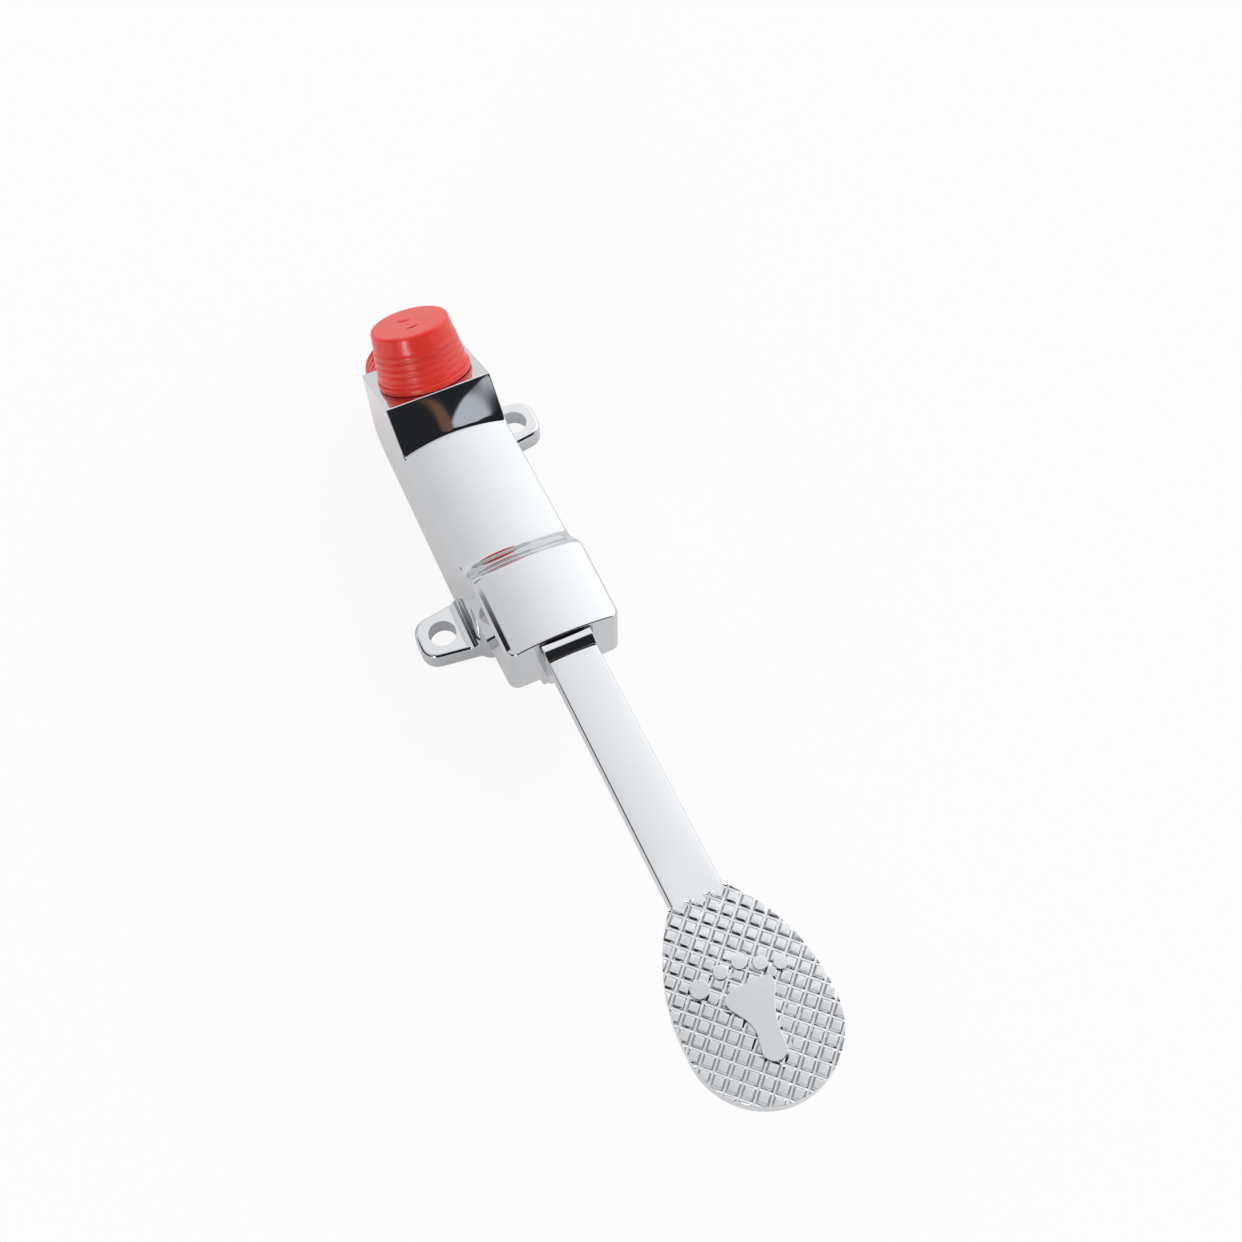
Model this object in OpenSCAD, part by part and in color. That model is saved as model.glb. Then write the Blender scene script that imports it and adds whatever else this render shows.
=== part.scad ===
// Foot pedal tap valve: a chromed floor body, a hinged pedal lever and the valve train between them.
// The origin is on the floor, midway between the two floor holes. +Y runs back to the inlet, +Z up.
// Lengths are in millimetres and angles in degrees.

/* [Body] */
// Width of the body
body_w = 28.8; // [27:0.1:33]
// Height of the valve's axis above the floor
axis_h = 14; // [13.5:0.1:15]
// Distance from the middle of the floor holes back to the rear face
rear_y = 44.5; // [43:0.1:47]
// Distance from the middle of the floor holes forward to the base's front wall
base_front = 37; // [36:0.1:38]
// Radius of the rear bottom corner
rear_corner_r = 8; // [4:0.5:10]
// Radius of the base's upright front corners
base_corner_r = 4; // [2:0.1:5]

/* [Port block] */
// Distance from the middle of the floor holes back to the ridge
ridge_y = 20.3; // [19.5:0.1:21]
// Height of the ridge
ridge_z = 40.5; // [40:0.1:44]
// Lean of the outlet back from upright
port_lean = 30; // [28:0.5:32]
// Distance from the ridge down the sloping face to the outlet's axis
port_offset = 12.8; // [12:0.1:13.5]
// Slope of the block's front face
front_slope = 40; // [35:1:50]

/* [Crowned middle] */
// Height of the crown where it meets the port block
crown_rear_z = 33.2; // [31:0.1:35]
// Lift of the crown towards the lever housing
crown_tilt = 5.5; // [4:0.1:5.8]
// Radius of the crown across the body
crown_r = 55; // [45:1:70]

/* [Lever housing] */
// Distance forward to the housing's front face
housing_front = 61.6; // [60:0.1:64]
// Height of the housing's top
housing_top = 47; // [46.8:0.1:49]
// Height of the housing's lower front edge
housing_bottom = 28.8; // [27:0.1:31]
// Height of the housing's underside where it meets the base
under_z = 24.8; // [24.2:0.1:26]
// Distance forward to the place where the underside starts to rise
under_y = 43; // [41:0.1:46]
// Distance forward to the top of the step behind the housing
step_top = 38; // [36:0.1:40]
// Slope of the step
step_slope = 48; // [42:1:55]
// Radius of the housing's upright front corners
corner_r = 2.5; // [2:0.1:5]
// Radius of the housing's top side edges
edge_r = 2; // [1:0.1:3]
// Thickness of the lip over the lever's slot
lip_t = 1; // [0.8:0.1:1.2]
// Gap between the lever's hub and each cheek of the slot
cheek_gap = 0.4; // [0.35:0.05:0.6]
// Wall between the slot and the base's front wall, measured along the body
slot_wall = 7; // [5:0.1:8]

/* [Floor ears] */
// Sideways distance of each floor hole from the middle
hole_x = 21.6; // [20.5:0.1:23]
// Lengthwise distance of each floor hole from the middle
hole_y = 27.3; // [25:0.1:28]
// Diameter of the floor holes
hole_d = 7.4; // [5:0.1:8]
// Thickness of the ears
ear_t = 5.4; // [4:0.1:7]
// Metal outside each hole at the ear's end
ear_rim = 3.2; // [2.5:0.1:5]
// Width of an ear at its end
ear_end_w = 12.6; // [12:0.1:14]
// Width of an ear at the body
ear_root_w = 16; // [14:0.1:18]
// Radius of an ear's end corners
ear_corner_r = 4.5; // [2:0.1:5.5]
// Radius of the hollow between an ear's top and the body's side
ear_hollow_r = 2; // [1:0.1:3]

/* [Hinge] */
// Distance forward to the hinge pin
pin_y = 52.5; // [52:0.1:53.5]
// Height of the hinge pin
pin_z = 38.5; // [38:0.1:39.5]
// Diameter of the hinge pin
pin_d = 6; // [5:0.1:6.4]
// Wall left at the blind end of the pin's bore
pin_end_wall = 3; // [2:0.1:4]
// Wall of the pivot bushes
bush_wall = 1; // [0.8:0.1:1.2]
// Thickness of the pivot bushes' flanges
bush_flange_t = 0.3; // [0.2:0.05:0.3]
// Width of the pivot bushes' flanges outside the bush
bush_flange_w = 1.2; // [0.8:0.1:1.4]
// Length of each pivot bush inside the hub
bush_l = 5; // [3:0.1:6]
// Diameter of the plug over the pin's end
plug_d = 7.6; // [7:0.1:9]
// Thickness of the plug
plug_t = 2.6; // [1.6:0.1:2.8]
// Width and depth of the plug's driver slot
plug_slot = 1; // [0.8:0.1:1.2]

/* [Pedal lever] */
// Width of the lever's hub
hub_w = 13.2; // [12.6:0.1:14]
// Width of the arm
arm_w = 12.4; // [11:0.1:12.6]
// Thickness of the arm
arm_t = 5; // [4:0.1:6]
// Rise of the lever towards its tip
arm_rise = 2.5; // [1.5:0.1:3]
// Gap between the housing's lip and the lever
lip_gap = 0.3; // [0.2:0.05:0.5]
// Distance from the housing's front to the ramp that leads down to the arm
ramp_lead = 1.2; // [0.6:0.1:2]
// Length of the ramp
ramp_l = 3; // [2:0.1:4]
// Drop of the ramp
ramp_drop = 1.4; // [0.8:0.1:2]
// Depth of the lever's root below its top
root_depth = 14.8; // [14:0.1:16]
// Distance that the root stands out in front of the ramp
root_lead = 0.4; // [0.2:0.1:1]
// Radius of the root's lower front corner
root_r = 5; // [3:0.1:6]
// Radius of the heel's nose
heel_r = 3.5; // [3:0.1:3.6]
// Width of the heel
heel_w = 9; // [7:0.1:11]
// Distance from the housing's front to the tread plate
arm_l = 69.6; // [60:0.1:90]
// Length of the tread plate
plate_l = 46.6; // [42:0.1:60]
// Width of the tread plate
plate_w = 33.2; // [30:0.1:38]
// Radius of the tread plate's long sides
plate_side_r = 41.6; // [38:0.1:60]
// Distance from the middle of the plate's round tip back to its widest place
plate_wide = 3; // [2:0.1:4]
// Thickness of the tread plate
plate_t = 4.2; // [3:0.1:5]
// Height of the footprint on the tread plate
print_h = 0.9; // [0.4:0.1:1.2]
// Distance from the plate's start to the front of the footprint's ball
print_y = 22.1; // [20:0.1:25]

/* [Ports] */
// Diameter of the ports' pipe thread
thread_d = 20.955; // [20:0.005:21.5]
// Length of the outlet's thread
outlet_thread_l = 9; // [7:0.1:10]
// Length of the inlet's thread
inlet_thread_l = 8.2; // [7.6:0.1:10]
// Diameter of the outlet nipple's spigot
outlet_spigot_d = 16; // [15:0.1:16.4]
// Length of the outlet nipple's spigot
outlet_spigot_l = 5.5; // [4:0.1:6]
// Diameter of the inlet nipple's spigot
inlet_spigot_d = 18; // [17:0.1:18.6]
// Length of the inlet nipple's spigot
inlet_spigot_l = 7; // [5:0.1:7.4]
// Bore of the outlet nipple
outlet_nipple_bore = 12; // [10:0.1:13]
// Bore of the outlet passage in the body
outlet_bore = 9; // [7:0.1:9.4]
// Bore of the inlet nipple round the spring
inlet_bore = 14; // [13.4:0.1:14.6]
// Bore of the inlet nipple's mouth
mouth_bore = 11; // [10:0.1:12]
// Thickness of the port gaskets
gasket_t = 0.8; // [0.5:0.1:1]
// Distance that the port gaskets lie inside the thread's diameter
gasket_inset = 0.4; // [0.2:0.1:0.6]

/* [Caps] */
// Height of the outlet cap above the port's face
outlet_cap_h = 15.4; // [14.5:0.1:18]
// Radius of the outlet cap's end
outlet_cap_r = 10.4; // [9.8:0.1:11]
// Height of the inlet cap above the rear face
inlet_cap_h = 11; // [10.8:0.1:14]
// Radius of the inlet cap's end
inlet_cap_r = 11.2; // [10.8:0.1:11.6]
// Radius of a cap just above its flange
cap_base_r = 12.1; // [11.8:0.1:12.5]
// Radius of a cap's flange
cap_flange_r = 12.6; // [12.3:0.1:13.2]
// Thickness of a cap's flange
cap_flange_t = 1.4; // [1:0.1:2]
// Thickness of a cap's end
cap_end_t = 1; // [0.8:0.1:1.5]
// Width of the shoulder inside a cap that stops at the thread's end
cap_shoulder = 1; // [0.6:0.1:1.4]
// Gap between a cap's flange and the port's face
cap_foot_gap = 0.4; // [0.2:0.1:0.6]
// Gap between a cap and the thread
cap_clear = 0.15; // [0.1:0.01:0.25]

/* [Gland] */
// Diameter of the gland nut's thread
gland_d = 14; // [13.4:0.1:15]
// Length of the gland nut's thread
gland_l = 13; // [12:0.1:16]
// Width of the gland nut's head across its flats
gland_af = 16; // [15.6:0.1:17]
// Thickness of the gland nut's head
gland_head_t = 2.6; // [2:0.1:2.8]
// Thickness of the washer under the gland nut
gland_washer_t = 1; // [0.6:0.1:1.2]
// Distance that the washer lies inside the head's flats
washer_inset = 0.2; // [0.1:0.1:0.4]
// Diameter of the seal pocket in the gland nut
pocket_d = 10; // [9.6:0.1:10.6]
// Depth of the seal pocket
pocket_l = 9; // [8.4:0.1:10]
// Thickness of the plunger seals
seal_t = 1.8; // [1.6:0.1:1.9]
// Length of the gland bush
gland_bush_l = 3; // [2:0.1:3.4]

/* [Valve train] */
// Diameter of the plunger rod
rod_d = 6; // [5.4:0.1:6.4]
// Diameter of the rod where it passes the seat
stem_d = 5; // [4.4:0.1:5.2]
// Diameter of the rod's threaded tail
tail_d = 4; // [3.4:0.1:4.2]
// Length of thin rod in front of the seat
stem_lead = 4.5; // [3:0.1:6]
// Length of the tail that stands out of the disc nut
tail_over = 0.6; // [0.3:0.1:1]
// Diameter of the thrust cap
thrust_d = 8; // [7:0.1:9]
// Thickness of the thrust cap
thrust_t = 2.4; // [1.6:0.1:2.5]
// Diameter of the thrust cap's spigot
thrust_spigot_d = 3; // [2:0.1:3.4]
// Length of the thrust cap's spigot
thrust_spigot_l = 4; // [3:0.1:6]
// Bore of the outlet chamber
chamber_d = 12; // [11:0.1:12.6]
// Distance back to the front of the valve seat
seat_y = 28.5; // [28.3:0.1:29]
// Length of the valve seat
seat_l = 3.5; // [3:0.1:3.8]
// Outer diameter of the valve seat
seat_d = 16; // [15:0.1:16.4]
// Bore of the valve seat
seat_bore = 9; // [8:0.1:9.4]
// Width of the seat's raised lip
lip_w = 0.8; // [0.5:0.1:0.9]
// Height of the seat's raised lip
lip_h = 0.6; // [0.4:0.1:0.8]
// Thickness of the O-ring round the seat
seat_seal_t = 1.4; // [1.2:0.1:1.6]
// Diameter of the rubber disc
disc_d = 11.4; // [11:0.1:11.8]
// Thickness of the rubber disc
disc_t = 2.4; // [2:0.1:2.8]
// Gap between the rubber disc and its holder's rim
disc_side_gap = 0.1; // [0.05:0.01:0.15]
// Length of the disc holder's rim
holder_rim_l = 1.8; // [1.2:0.1:2]
// Wall of the disc holder
holder_wall = 0.5; // [0.4:0.05:0.6]
// Thickness of the disc holder's back
holder_t = 2; // [1.5:0.1:2.2]
// Width of the disc nut across its flats
nut_af = 7; // [6:0.1:7.2]
// Thickness of the disc nut
nut_t = 2.4; // [2:0.1:2.8]
// Wire of the return spring
wire_d = 0.9; // [0.7:0.05:1]
// Mean radius of the return spring
spring_r = 5; // [4.9:0.05:5.2]
// Turns of the return spring
spring_turns = 5; // [4:0.5:6]
// Distance from the rear face to the spring retainer
retainer_y = 4; // [3.8:0.1:4.2]
// Thickness of the spring retainer
retainer_t = 1.3; // [1:0.1:1.6]
// Diameter of the spring retainer's openings
retainer_port_d = 2.8; // [2:0.1:3]
// Radius of the circle of the spring retainer's openings
retainer_port_r = 3.5; // [3:0.1:3.8]
// Width of the strainer's seat round the mouth
strainer_rim = 1.2; // [0.8:0.1:1.6]
// Width of the strainer's bars
strainer_bar = 0.9; // [0.6:0.1:1.2]
// Thickness of the strainer
strainer_t = 1.2; // [0.8:0.1:1.4]
// Pitch of the strainer's openings
strainer_pitch = 2.2; // [2:0.1:3]

/* [Clearances] */
// Radial gap of a pressed or screwed fit
fit = 0.02; // [0.01:0.01:0.05]
// Radial gap of a running fit
run = 0.04; // [0.02:0.01:0.08]
// End gap between parts that meet
end_gap = 0.05; // [0.03:0.01:0.1]
// Gap between the heel and the thrust cap at rest
heel_gap = 0.3; // [0.2:0.05:0.4]

/* [Hidden] */
$fn = 64;

// Overrun that keeps cutters clear of the faces they cut
over = 1;
half_w = body_w / 2;
slot_w = hub_w + 2 * cheek_gap;
slot_back = base_front + slot_wall;

// Port block and outlet
rear_top_z = ridge_z - (rear_y - ridge_y) * tan(port_lean);
port_y = ridge_y + port_offset * cos(port_lean);
port_z = ridge_z - port_offset * sin(port_lean);
outlet_depth = (port_z - axis_h) / cos(port_lean);

// Crowned middle, and how far its sides lie below its top
crown_y = ridge_y - (ridge_z - crown_rear_z) / tan(front_slope);
side_z = sqrt(pow(crown_r, 2) - pow(half_w, 2)) - crown_r;
crown_depth = 12;
core_drop = 2;
core_z = crown_rear_z + side_z - core_drop;
slope_foot_y = ridge_y - (ridge_z - core_z) / tan(front_slope);
step_foot_y = (housing_top - core_z) / tan(step_slope) - step_top;

// Lever: its root's top runs from the slot's mouth, and its hub's round is tangent to that plane
mouth_z = housing_top - lip_t - lip_gap;
pin_to_front = housing_front - pin_y;
hub_r = (mouth_z - pin_z) * cos(arm_rise) - pin_to_front * sin(arm_rise);
pin_back = pin_to_front * cos(arm_rise) + (mouth_z - pin_z) * sin(arm_rise);
plate_r = plate_w / 2;
plate_tip = arm_l + plate_l;
print_line = arm_l + print_y;
bush_d = pin_d + 2 * run + 2 * bush_wall;
ramp_foot = ramp_lead + ramp_l;
root_front = ramp_foot + root_lead;

// Places along the valve's axis
thrust_y = -pin_y + heel_r + heel_gap;
rod_y = thrust_y + thrust_t;
gland_end_y = gland_l - base_front;
pocket_y = gland_end_y - pocket_l;
seal_r = rod_d / 2 + run + seal_t / 2;
seat_end_y = seat_y + seat_l;
disc_y = seat_end_y + lip_h + end_gap;
holder_y = disc_y + disc_t + end_gap;
holder_back_y = holder_y + holder_t;
holder_d = disc_d + 2 * disc_side_gap + 2 * holder_wall;
nut_y = holder_back_y + end_gap;
tail_y = nut_y + nut_t + tail_over;
stem_y = seat_y - stem_lead;
spigot_end_y = rear_y - inlet_spigot_l;
retainer_face_y = rear_y + retainer_y;
retainer_back_y = retainer_face_y + retainer_t;
spring_start_y = holder_back_y + wire_d / 2 + end_gap;
spring_end_y = retainer_face_y - wire_d / 2 - end_gap;
inlet_end_y = rear_y + gasket_t + inlet_thread_l;
strainer_y = inlet_end_y - strainer_t - end_gap;
strainer_d = mouth_bore + 2 * strainer_rim;

// Colours
chrome = "#d5d8dc";
cap_red = "#e2362b";
brass = "#c9a650";
steel = "#aeb3b8";
rubber = "#2c2d2f";
acetal = "#f1f0ea";
fibre = "#9a6a4a";

// Solid of a side outline [y, z], w wide and centred across the body
module across(w) {
    translate([-w / 2, 0, 0]) rotate([90, 0, 90]) linear_extrude(w) children();
}

// Frame on the valve's axis: z runs back along +Y from y
module on_axis(y) {
    translate([0, y, axis_h]) rotate([-90, 0, 0]) children();
}

// Frame on the outlet's axis: z runs up out of the sloping face
module on_port() {
    translate([0, port_y, port_z]) rotate([-port_lean, 0, 0]) children();
}

// Frame on the top of the lever's root: y = 0 at the housing's front, the arm runs along -y
module on_lever() {
    translate([0, -housing_front, mouth_z]) rotate([-arm_rise, 0, 0]) children();
}

// Frame on the top of the arm, below the ramp
module on_arm() {
    on_lever() translate([0, 0, -ramp_drop]) children();
}

// Frame on the hinge pin: z runs along +X from x
module on_pin(x) {
    translate([x, -pin_y, pin_z]) rotate([0, 90, 0]) children();
}

// Tube of outer diameter od, bore id and length l
module tube(od, id, l) {
    difference() {
        cylinder(d = od, h = l);
        translate([0, 0, -over]) cylinder(d = id, h = l + 2 * over);
    }
}

// O-ring of mean radius r and thickness t, centred on its plane
module o_ring(r, t) {
    rotate_extrude() translate([r, 0]) circle(d = t);
}

// Hexagon prism, af across its flats
module hexagon(af, h) {
    cylinder(d = af / cos(30), h = h, $fn = 6);
}

// Rectangle from [x0, y0] to [x1, y1] with corner radius r
module rounded(x0, y0, x1, y1, r) {
    translate([x0 + r, y0]) square([x1 - x0 - 2 * r, y1 - y0]);
    translate([x0, y0 + r]) square([x1 - x0, y1 - y0 - 2 * r]);
    for (x = [x0 + r, x1 - r], y = [y0 + r, y1 - r]) translate([x, y]) circle(r);
}

// Both places of what repeats at the two diagonal ears
module at_ears() {
    for (turn = [0, 180]) rotate([0, 0, turn]) children();
}

// Base and port block, with the rear bottom corner round
module base_outline() {
    polygon([[-base_front, 0], [rear_y - rear_corner_r, 0], [rear_y, rear_corner_r], [rear_y, rear_top_z],
        [ridge_y, ridge_z], [slope_foot_y, core_z], [-base_front, core_z]]);
    translate([rear_y - rear_corner_r, rear_corner_r]) circle(rear_corner_r);
}

// Section of the crowned middle, with the crown's top at 0 and its sides outside the body's
module crown_section() {
    intersection() {
        translate([0, -crown_r]) circle(crown_r);
        translate([-half_w - over, -crown_depth]) square([body_w + 2 * over, crown_depth + over]);
    }
}

module crown() {
    crown_back = 3;
    translate([0, crown_y, crown_rear_z]) rotate([-crown_tilt, 0, 0]) translate([0, crown_back, 0])
        rotate([90, 0, 0]) linear_extrude(crown_y + step_top + crown_back) crown_section();
}

// Base, port block and crowned middle, with the body's two sides cut once
module trunk() {
    intersection() {
        union() {
            across(body_w + 2 * over) base_outline();
            crown();
        }
        translate([-half_w, -2 * base_front, -over]) cube([body_w, 4 * base_front, 2 * housing_top]);
    }
}

// Lever housing: side outline, with upright corners and top edges round
module housing() {
    intersection() {
        across(body_w) polygon([[step_foot_y, core_z], [-step_top, housing_top],
            [-housing_front, housing_top], [-housing_front, housing_bottom], [-under_y, under_z],
            [-base_front, under_z], [-base_front, core_z]]);
        linear_extrude(2 * housing_top) rounded(-half_w, -housing_front, half_w, base_front, corner_r);
        translate([0, base_front, 0]) rotate([90, 0, 0]) linear_extrude(base_front + 2 * housing_front)
            rounded(-half_w, 0, half_w, housing_top, edge_r);
    }
}

// Waste outside the base's upright front corners, up to the housing's underside
module base_corner_waste() {
    for (side = [-1, 1]) translate([side * (half_w - base_corner_r), base_corner_r - base_front, -over])
        linear_extrude(under_z + over) intersection() {
            difference() {
                square(2 * base_corner_r + 2 * over, center = true);
                circle(base_corner_r);
            }
            translate([side > 0 ? 0 : -body_w, -body_w]) square(body_w);
        }
}

module ear_outline() {
    root_x = half_w - 2 * over;
    end_x = hole_x + hole_d / 2 + ear_rim;
    bend_x = end_x - ear_corner_r;
    translate([0, hole_y]) {
        polygon([[root_x, -ear_root_w / 2], [bend_x, -ear_end_w / 2], [bend_x, ear_end_w / 2],
            [root_x, ear_root_w / 2]]);
        translate([bend_x, ear_corner_r - ear_end_w / 2])
            square([ear_corner_r, ear_end_w - 2 * ear_corner_r]);
        for (side = [-1, 1]) translate([bend_x, side * (ear_end_w / 2 - ear_corner_r)]) circle(ear_corner_r);
    }
}

// One floor ear, on the right of the body, with the hollow where its top meets the body's side
module ear() {
    linear_extrude(ear_t) ear_outline();
    intersection() {
        linear_extrude(ear_t + ear_hollow_r) ear_outline();
        translate([half_w, hole_y + ear_root_w, ear_t]) rotate([90, 0, 0]) linear_extrude(2 * ear_root_w)
            difference() {
                translate([-over, -over]) square(ear_hollow_r + over);
                translate([ear_hollow_r, ear_hollow_r]) circle(ear_hollow_r);
            }
    }
}

// Slot for the lever, open to the front and below
module lever_slot() {
    translate([-slot_w / 2, -housing_front - over, 0])
        cube([slot_w, housing_front + over - slot_back, housing_top - lip_t]);
}

module pin_bores() {
    pin_l = body_w - 2 * pin_end_wall;
    on_pin(-pin_l / 2 - end_gap) cylinder(d = pin_d + 2 * fit, h = body_w);
    on_pin(pin_l / 2 + end_gap) cylinder(d = plug_d + 2 * fit, h = pin_end_wall + over);
}

module valve_bores() {
    on_axis(-base_front - over) cylinder(d = gland_d + 2 * fit, h = gland_l + over + end_gap);
    on_axis(-base_front) cylinder(d = chamber_d, h = base_front + seat_y + over);
    on_axis(seat_y) cylinder(d = seat_d + 2 * fit, h = rear_y - seat_y);
    on_axis(spigot_end_y - end_gap) cylinder(d = inlet_spigot_d + 2 * fit, h = inlet_spigot_l + over);
    on_port() translate([0, 0, -outlet_depth]) cylinder(d = outlet_bore, h = outlet_depth);
    on_port() translate([0, 0, -outlet_spigot_l - end_gap])
        cylinder(d = outlet_spigot_d + 2 * fit, h = outlet_spigot_l + over);
}

module valve_body() {
    color(chrome) difference() {
        union() {
            difference() {
                trunk();
                base_corner_waste();
            }
            housing();
            at_ears() ear();
        }
        lever_slot();
        pin_bores();
        valve_bores();
        at_ears() translate([hole_x, hole_y, -over]) cylinder(d = hole_d, h = ear_t + 2 * over);
    }
}

// Egg-shaped outline of the tread plate: two long side arcs and a round tip
module plate_outline() {
    tip_centre = plate_r - plate_tip;
    wide_y = tip_centre + plate_wide;
    translate([0, tip_centre]) circle(plate_r);
    intersection() {
        translate([plate_r - plate_side_r, wide_y]) circle(plate_side_r, $fn = 180);
        translate([plate_side_r - plate_r, wide_y]) circle(plate_side_r, $fn = 180);
        translate([-plate_r, wide_y]) square([plate_w, -arm_l - wide_y]);
    }
}

// Bare footprint: ball, waist, heel and five toes, with the toes towards the hinge
module footprint() {
    toes = [[-8.6, 2.6, 2.1], [-3.1, 4.7, 1.9], [1.4, 4.6, 1.7], [5.2, 2.9, 1.6], [9.2, 1.1, 1.6]];
    for (toe = toes) translate([toe[0], toe[1]]) circle(toe[2]);
    polygon([[-4.9, -1], [0.2, 0], [5.8, -1.6], [3.4, -7], [2.2, -12], [2.4, -15.4], [1.2, -16.8],
        [-1.4, -16.8], [-3, -14.8], [-2, -10.4], [-3.6, -5]]);
}

// Deep root of the lever, with the ramp on top and its lower front corner round
module root_outline() {
    polygon([[pin_back, 0], [-ramp_lead, 0], [-ramp_foot, -ramp_drop], [-root_front, -ramp_drop],
        [-root_front, root_r - root_depth], [root_r - root_front, -root_depth], [pin_back, -root_depth]]);
    translate([root_r - root_front, root_r - root_depth]) circle(root_r);
}

// Faces beside the hub that keep the bushes' flanges free of a wider root
module bush_faces() {
    for (side = [0, 1]) mirror([side, 0, 0])
        on_pin(hub_w / 2) cylinder(d = bush_d + 2 * bush_flange_w + 2 * run, h = body_w);
}

module pedal_lever() {
    color(chrome) difference() {
        union() {
            on_pin(-hub_w / 2) cylinder(r = hub_r, h = hub_w);
            on_lever() across(arm_w) root_outline();
            across(heel_w) {
                translate([-pin_y - heel_r, axis_h]) square([2 * heel_r, pin_z - axis_h]);
                translate([-pin_y, axis_h]) circle(heel_r);
            }
            on_arm() translate([-arm_w / 2, -arm_l - over, -arm_t]) cube([arm_w, arm_l, arm_t]);
            on_arm() translate([0, 0, -plate_t]) linear_extrude(plate_t) plate_outline();
            on_arm() translate([0, -print_line, -over]) linear_extrude(print_h + over) footprint();
        }
        on_pin(-body_w / 2) cylinder(d = bush_d + 2 * fit, h = body_w);
        bush_faces();
    }
}

module hinge_pin() {
    pin_l = body_w - 2 * pin_end_wall;
    color(steel) on_pin(-pin_l / 2) cylinder(d = pin_d, h = pin_l);
}

module pin_plug() {
    color(chrome) on_pin(half_w - plug_t) difference() {
        cylinder(d = plug_d, h = plug_t);
        translate([-plug_slot / 2, -plug_d, plug_t - plug_slot]) cube([plug_slot, 2 * plug_d, 2 * plug_slot]);
    }
}

module pivot_bushes() {
    color(acetal) for (side = [0, 1]) mirror([side, 0, 0]) on_pin(hub_w / 2 - bush_l) {
        tube(bush_d, pin_d + 2 * run, bush_l + bush_flange_t);
        translate([0, 0, bush_l]) tube(bush_d + 2 * bush_flange_w, pin_d + 2 * run, bush_flange_t);
    }
}

module plunger_rod() {
    color(steel) difference() {
        union() {
            on_axis(rod_y) cylinder(d = rod_d, h = stem_y - rod_y);
            on_axis(rod_y) cylinder(d = stem_d, h = holder_y - rod_y);
            on_axis(rod_y) cylinder(d = tail_d, h = tail_y - rod_y);
        }
        on_axis(rod_y - over) cylinder(d = thrust_spigot_d + 2 * fit, h = thrust_spigot_l + over + end_gap);
    }
}

module thrust_cap() {
    color(acetal) {
        on_axis(thrust_y) cylinder(d = thrust_d, h = thrust_t);
        on_axis(thrust_y) cylinder(d = thrust_spigot_d, h = thrust_t + thrust_spigot_l);
    }
}

module gland_nut() {
    head_y = -base_front - gland_washer_t - gland_head_t;
    color(brass) difference() {
        union() {
            on_axis(head_y) hexagon(gland_af, gland_head_t);
            on_axis(head_y) cylinder(d = gland_d, h = gland_end_y - head_y);
        }
        on_axis(head_y - over) cylinder(d = rod_d + 2 * run, h = gland_end_y - head_y + 2 * over);
        on_axis(pocket_y) cylinder(d = pocket_d, h = pocket_l + over);
    }
}

module gland_washer() {
    washer_d = gland_af - 2 * washer_inset;
    color(fibre) on_axis(-base_front - gland_washer_t) tube(washer_d, gland_d + 2 * fit, gland_washer_t);
}

module gland_bush() {
    color(acetal) on_axis(gland_end_y - gland_bush_l)
        tube(pocket_d - 2 * fit, rod_d + 2 * run, gland_bush_l);
}

module plunger_seals() {
    room = pocket_l - gland_bush_l;
    color(rubber) for (place = [1, 3]) on_axis(pocket_y + place * room / 4) o_ring(seal_r, seal_t);
}

module valve_seat() {
    groove_t = seat_seal_t + 2 * end_gap;
    color(brass) difference() {
        union() {
            on_axis(seat_y + end_gap) cylinder(d = seat_d, h = seat_l - end_gap);
            on_axis(seat_y + end_gap) cylinder(d = seat_bore + 2 * lip_w, h = seat_l + lip_h - end_gap);
        }
        on_axis(seat_y - over) cylinder(d = seat_bore, h = seat_l + lip_h + 2 * over);
        on_axis(seat_y + seat_l / 2 - groove_t / 2) tube(seat_d + over, seat_d - 2 * groove_t, groove_t);
    }
}

module seat_seal() {
    ring_r = seat_d / 2 - seat_seal_t / 2 - end_gap / 2;
    color(rubber) on_axis(seat_y + seat_l / 2) o_ring(ring_r, seat_seal_t);
}

module valve_disc() {
    color(rubber) on_axis(disc_y) tube(disc_d, stem_d + 2 * fit, disc_t);
}

module disc_holder() {
    color(brass) on_axis(holder_y - holder_rim_l) difference() {
        cylinder(d = holder_d, h = holder_rim_l + holder_t);
        translate([0, 0, -over]) cylinder(d = holder_d - 2 * holder_wall, h = holder_rim_l + over);
        cylinder(d = tail_d + 2 * fit, h = holder_rim_l + holder_t + over);
    }
}

module disc_nut() {
    color(brass) on_axis(nut_y) difference() {
        hexagon(nut_af, nut_t);
        translate([0, 0, -over]) cylinder(d = tail_d + 2 * fit, h = nut_t + 2 * over);
    }
}

// Closed round wire that winds back along the axis
module coil(r, wire, turns, length) {
    rings = 12;
    sides = 8;
    last = round(turns * rings);
    function spot(i, j) =
        let (a = 360 * i / rings, b = 360 * j / sides, s = r + wire / 2 * cos(b))
        [s * cos(a), s * sin(a), length * i / last + wire / 2 * sin(b)];
    points = [for (i = [0:last], j = [0:sides - 1]) spot(i, j)];
    skin = [for (i = [0:last - 1], j = [0:sides - 1])
        let (k = (j + 1) % sides, a = i * sides, b = a + sides)
        each [[a + j, a + k, b + k], [a + j, b + k, b + j]]];
    end = last * sides;
    ends = [for (j = [1:sides - 2]) each [[0, j + 1, j], [end, end + j, end + j + 1]]];
    polyhedron(points, concat(skin, ends));
}

module return_spring() {
    color(steel) on_axis(spring_start_y) coil(spring_r, wire_d, spring_turns, spring_end_y - spring_start_y);
}

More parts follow.
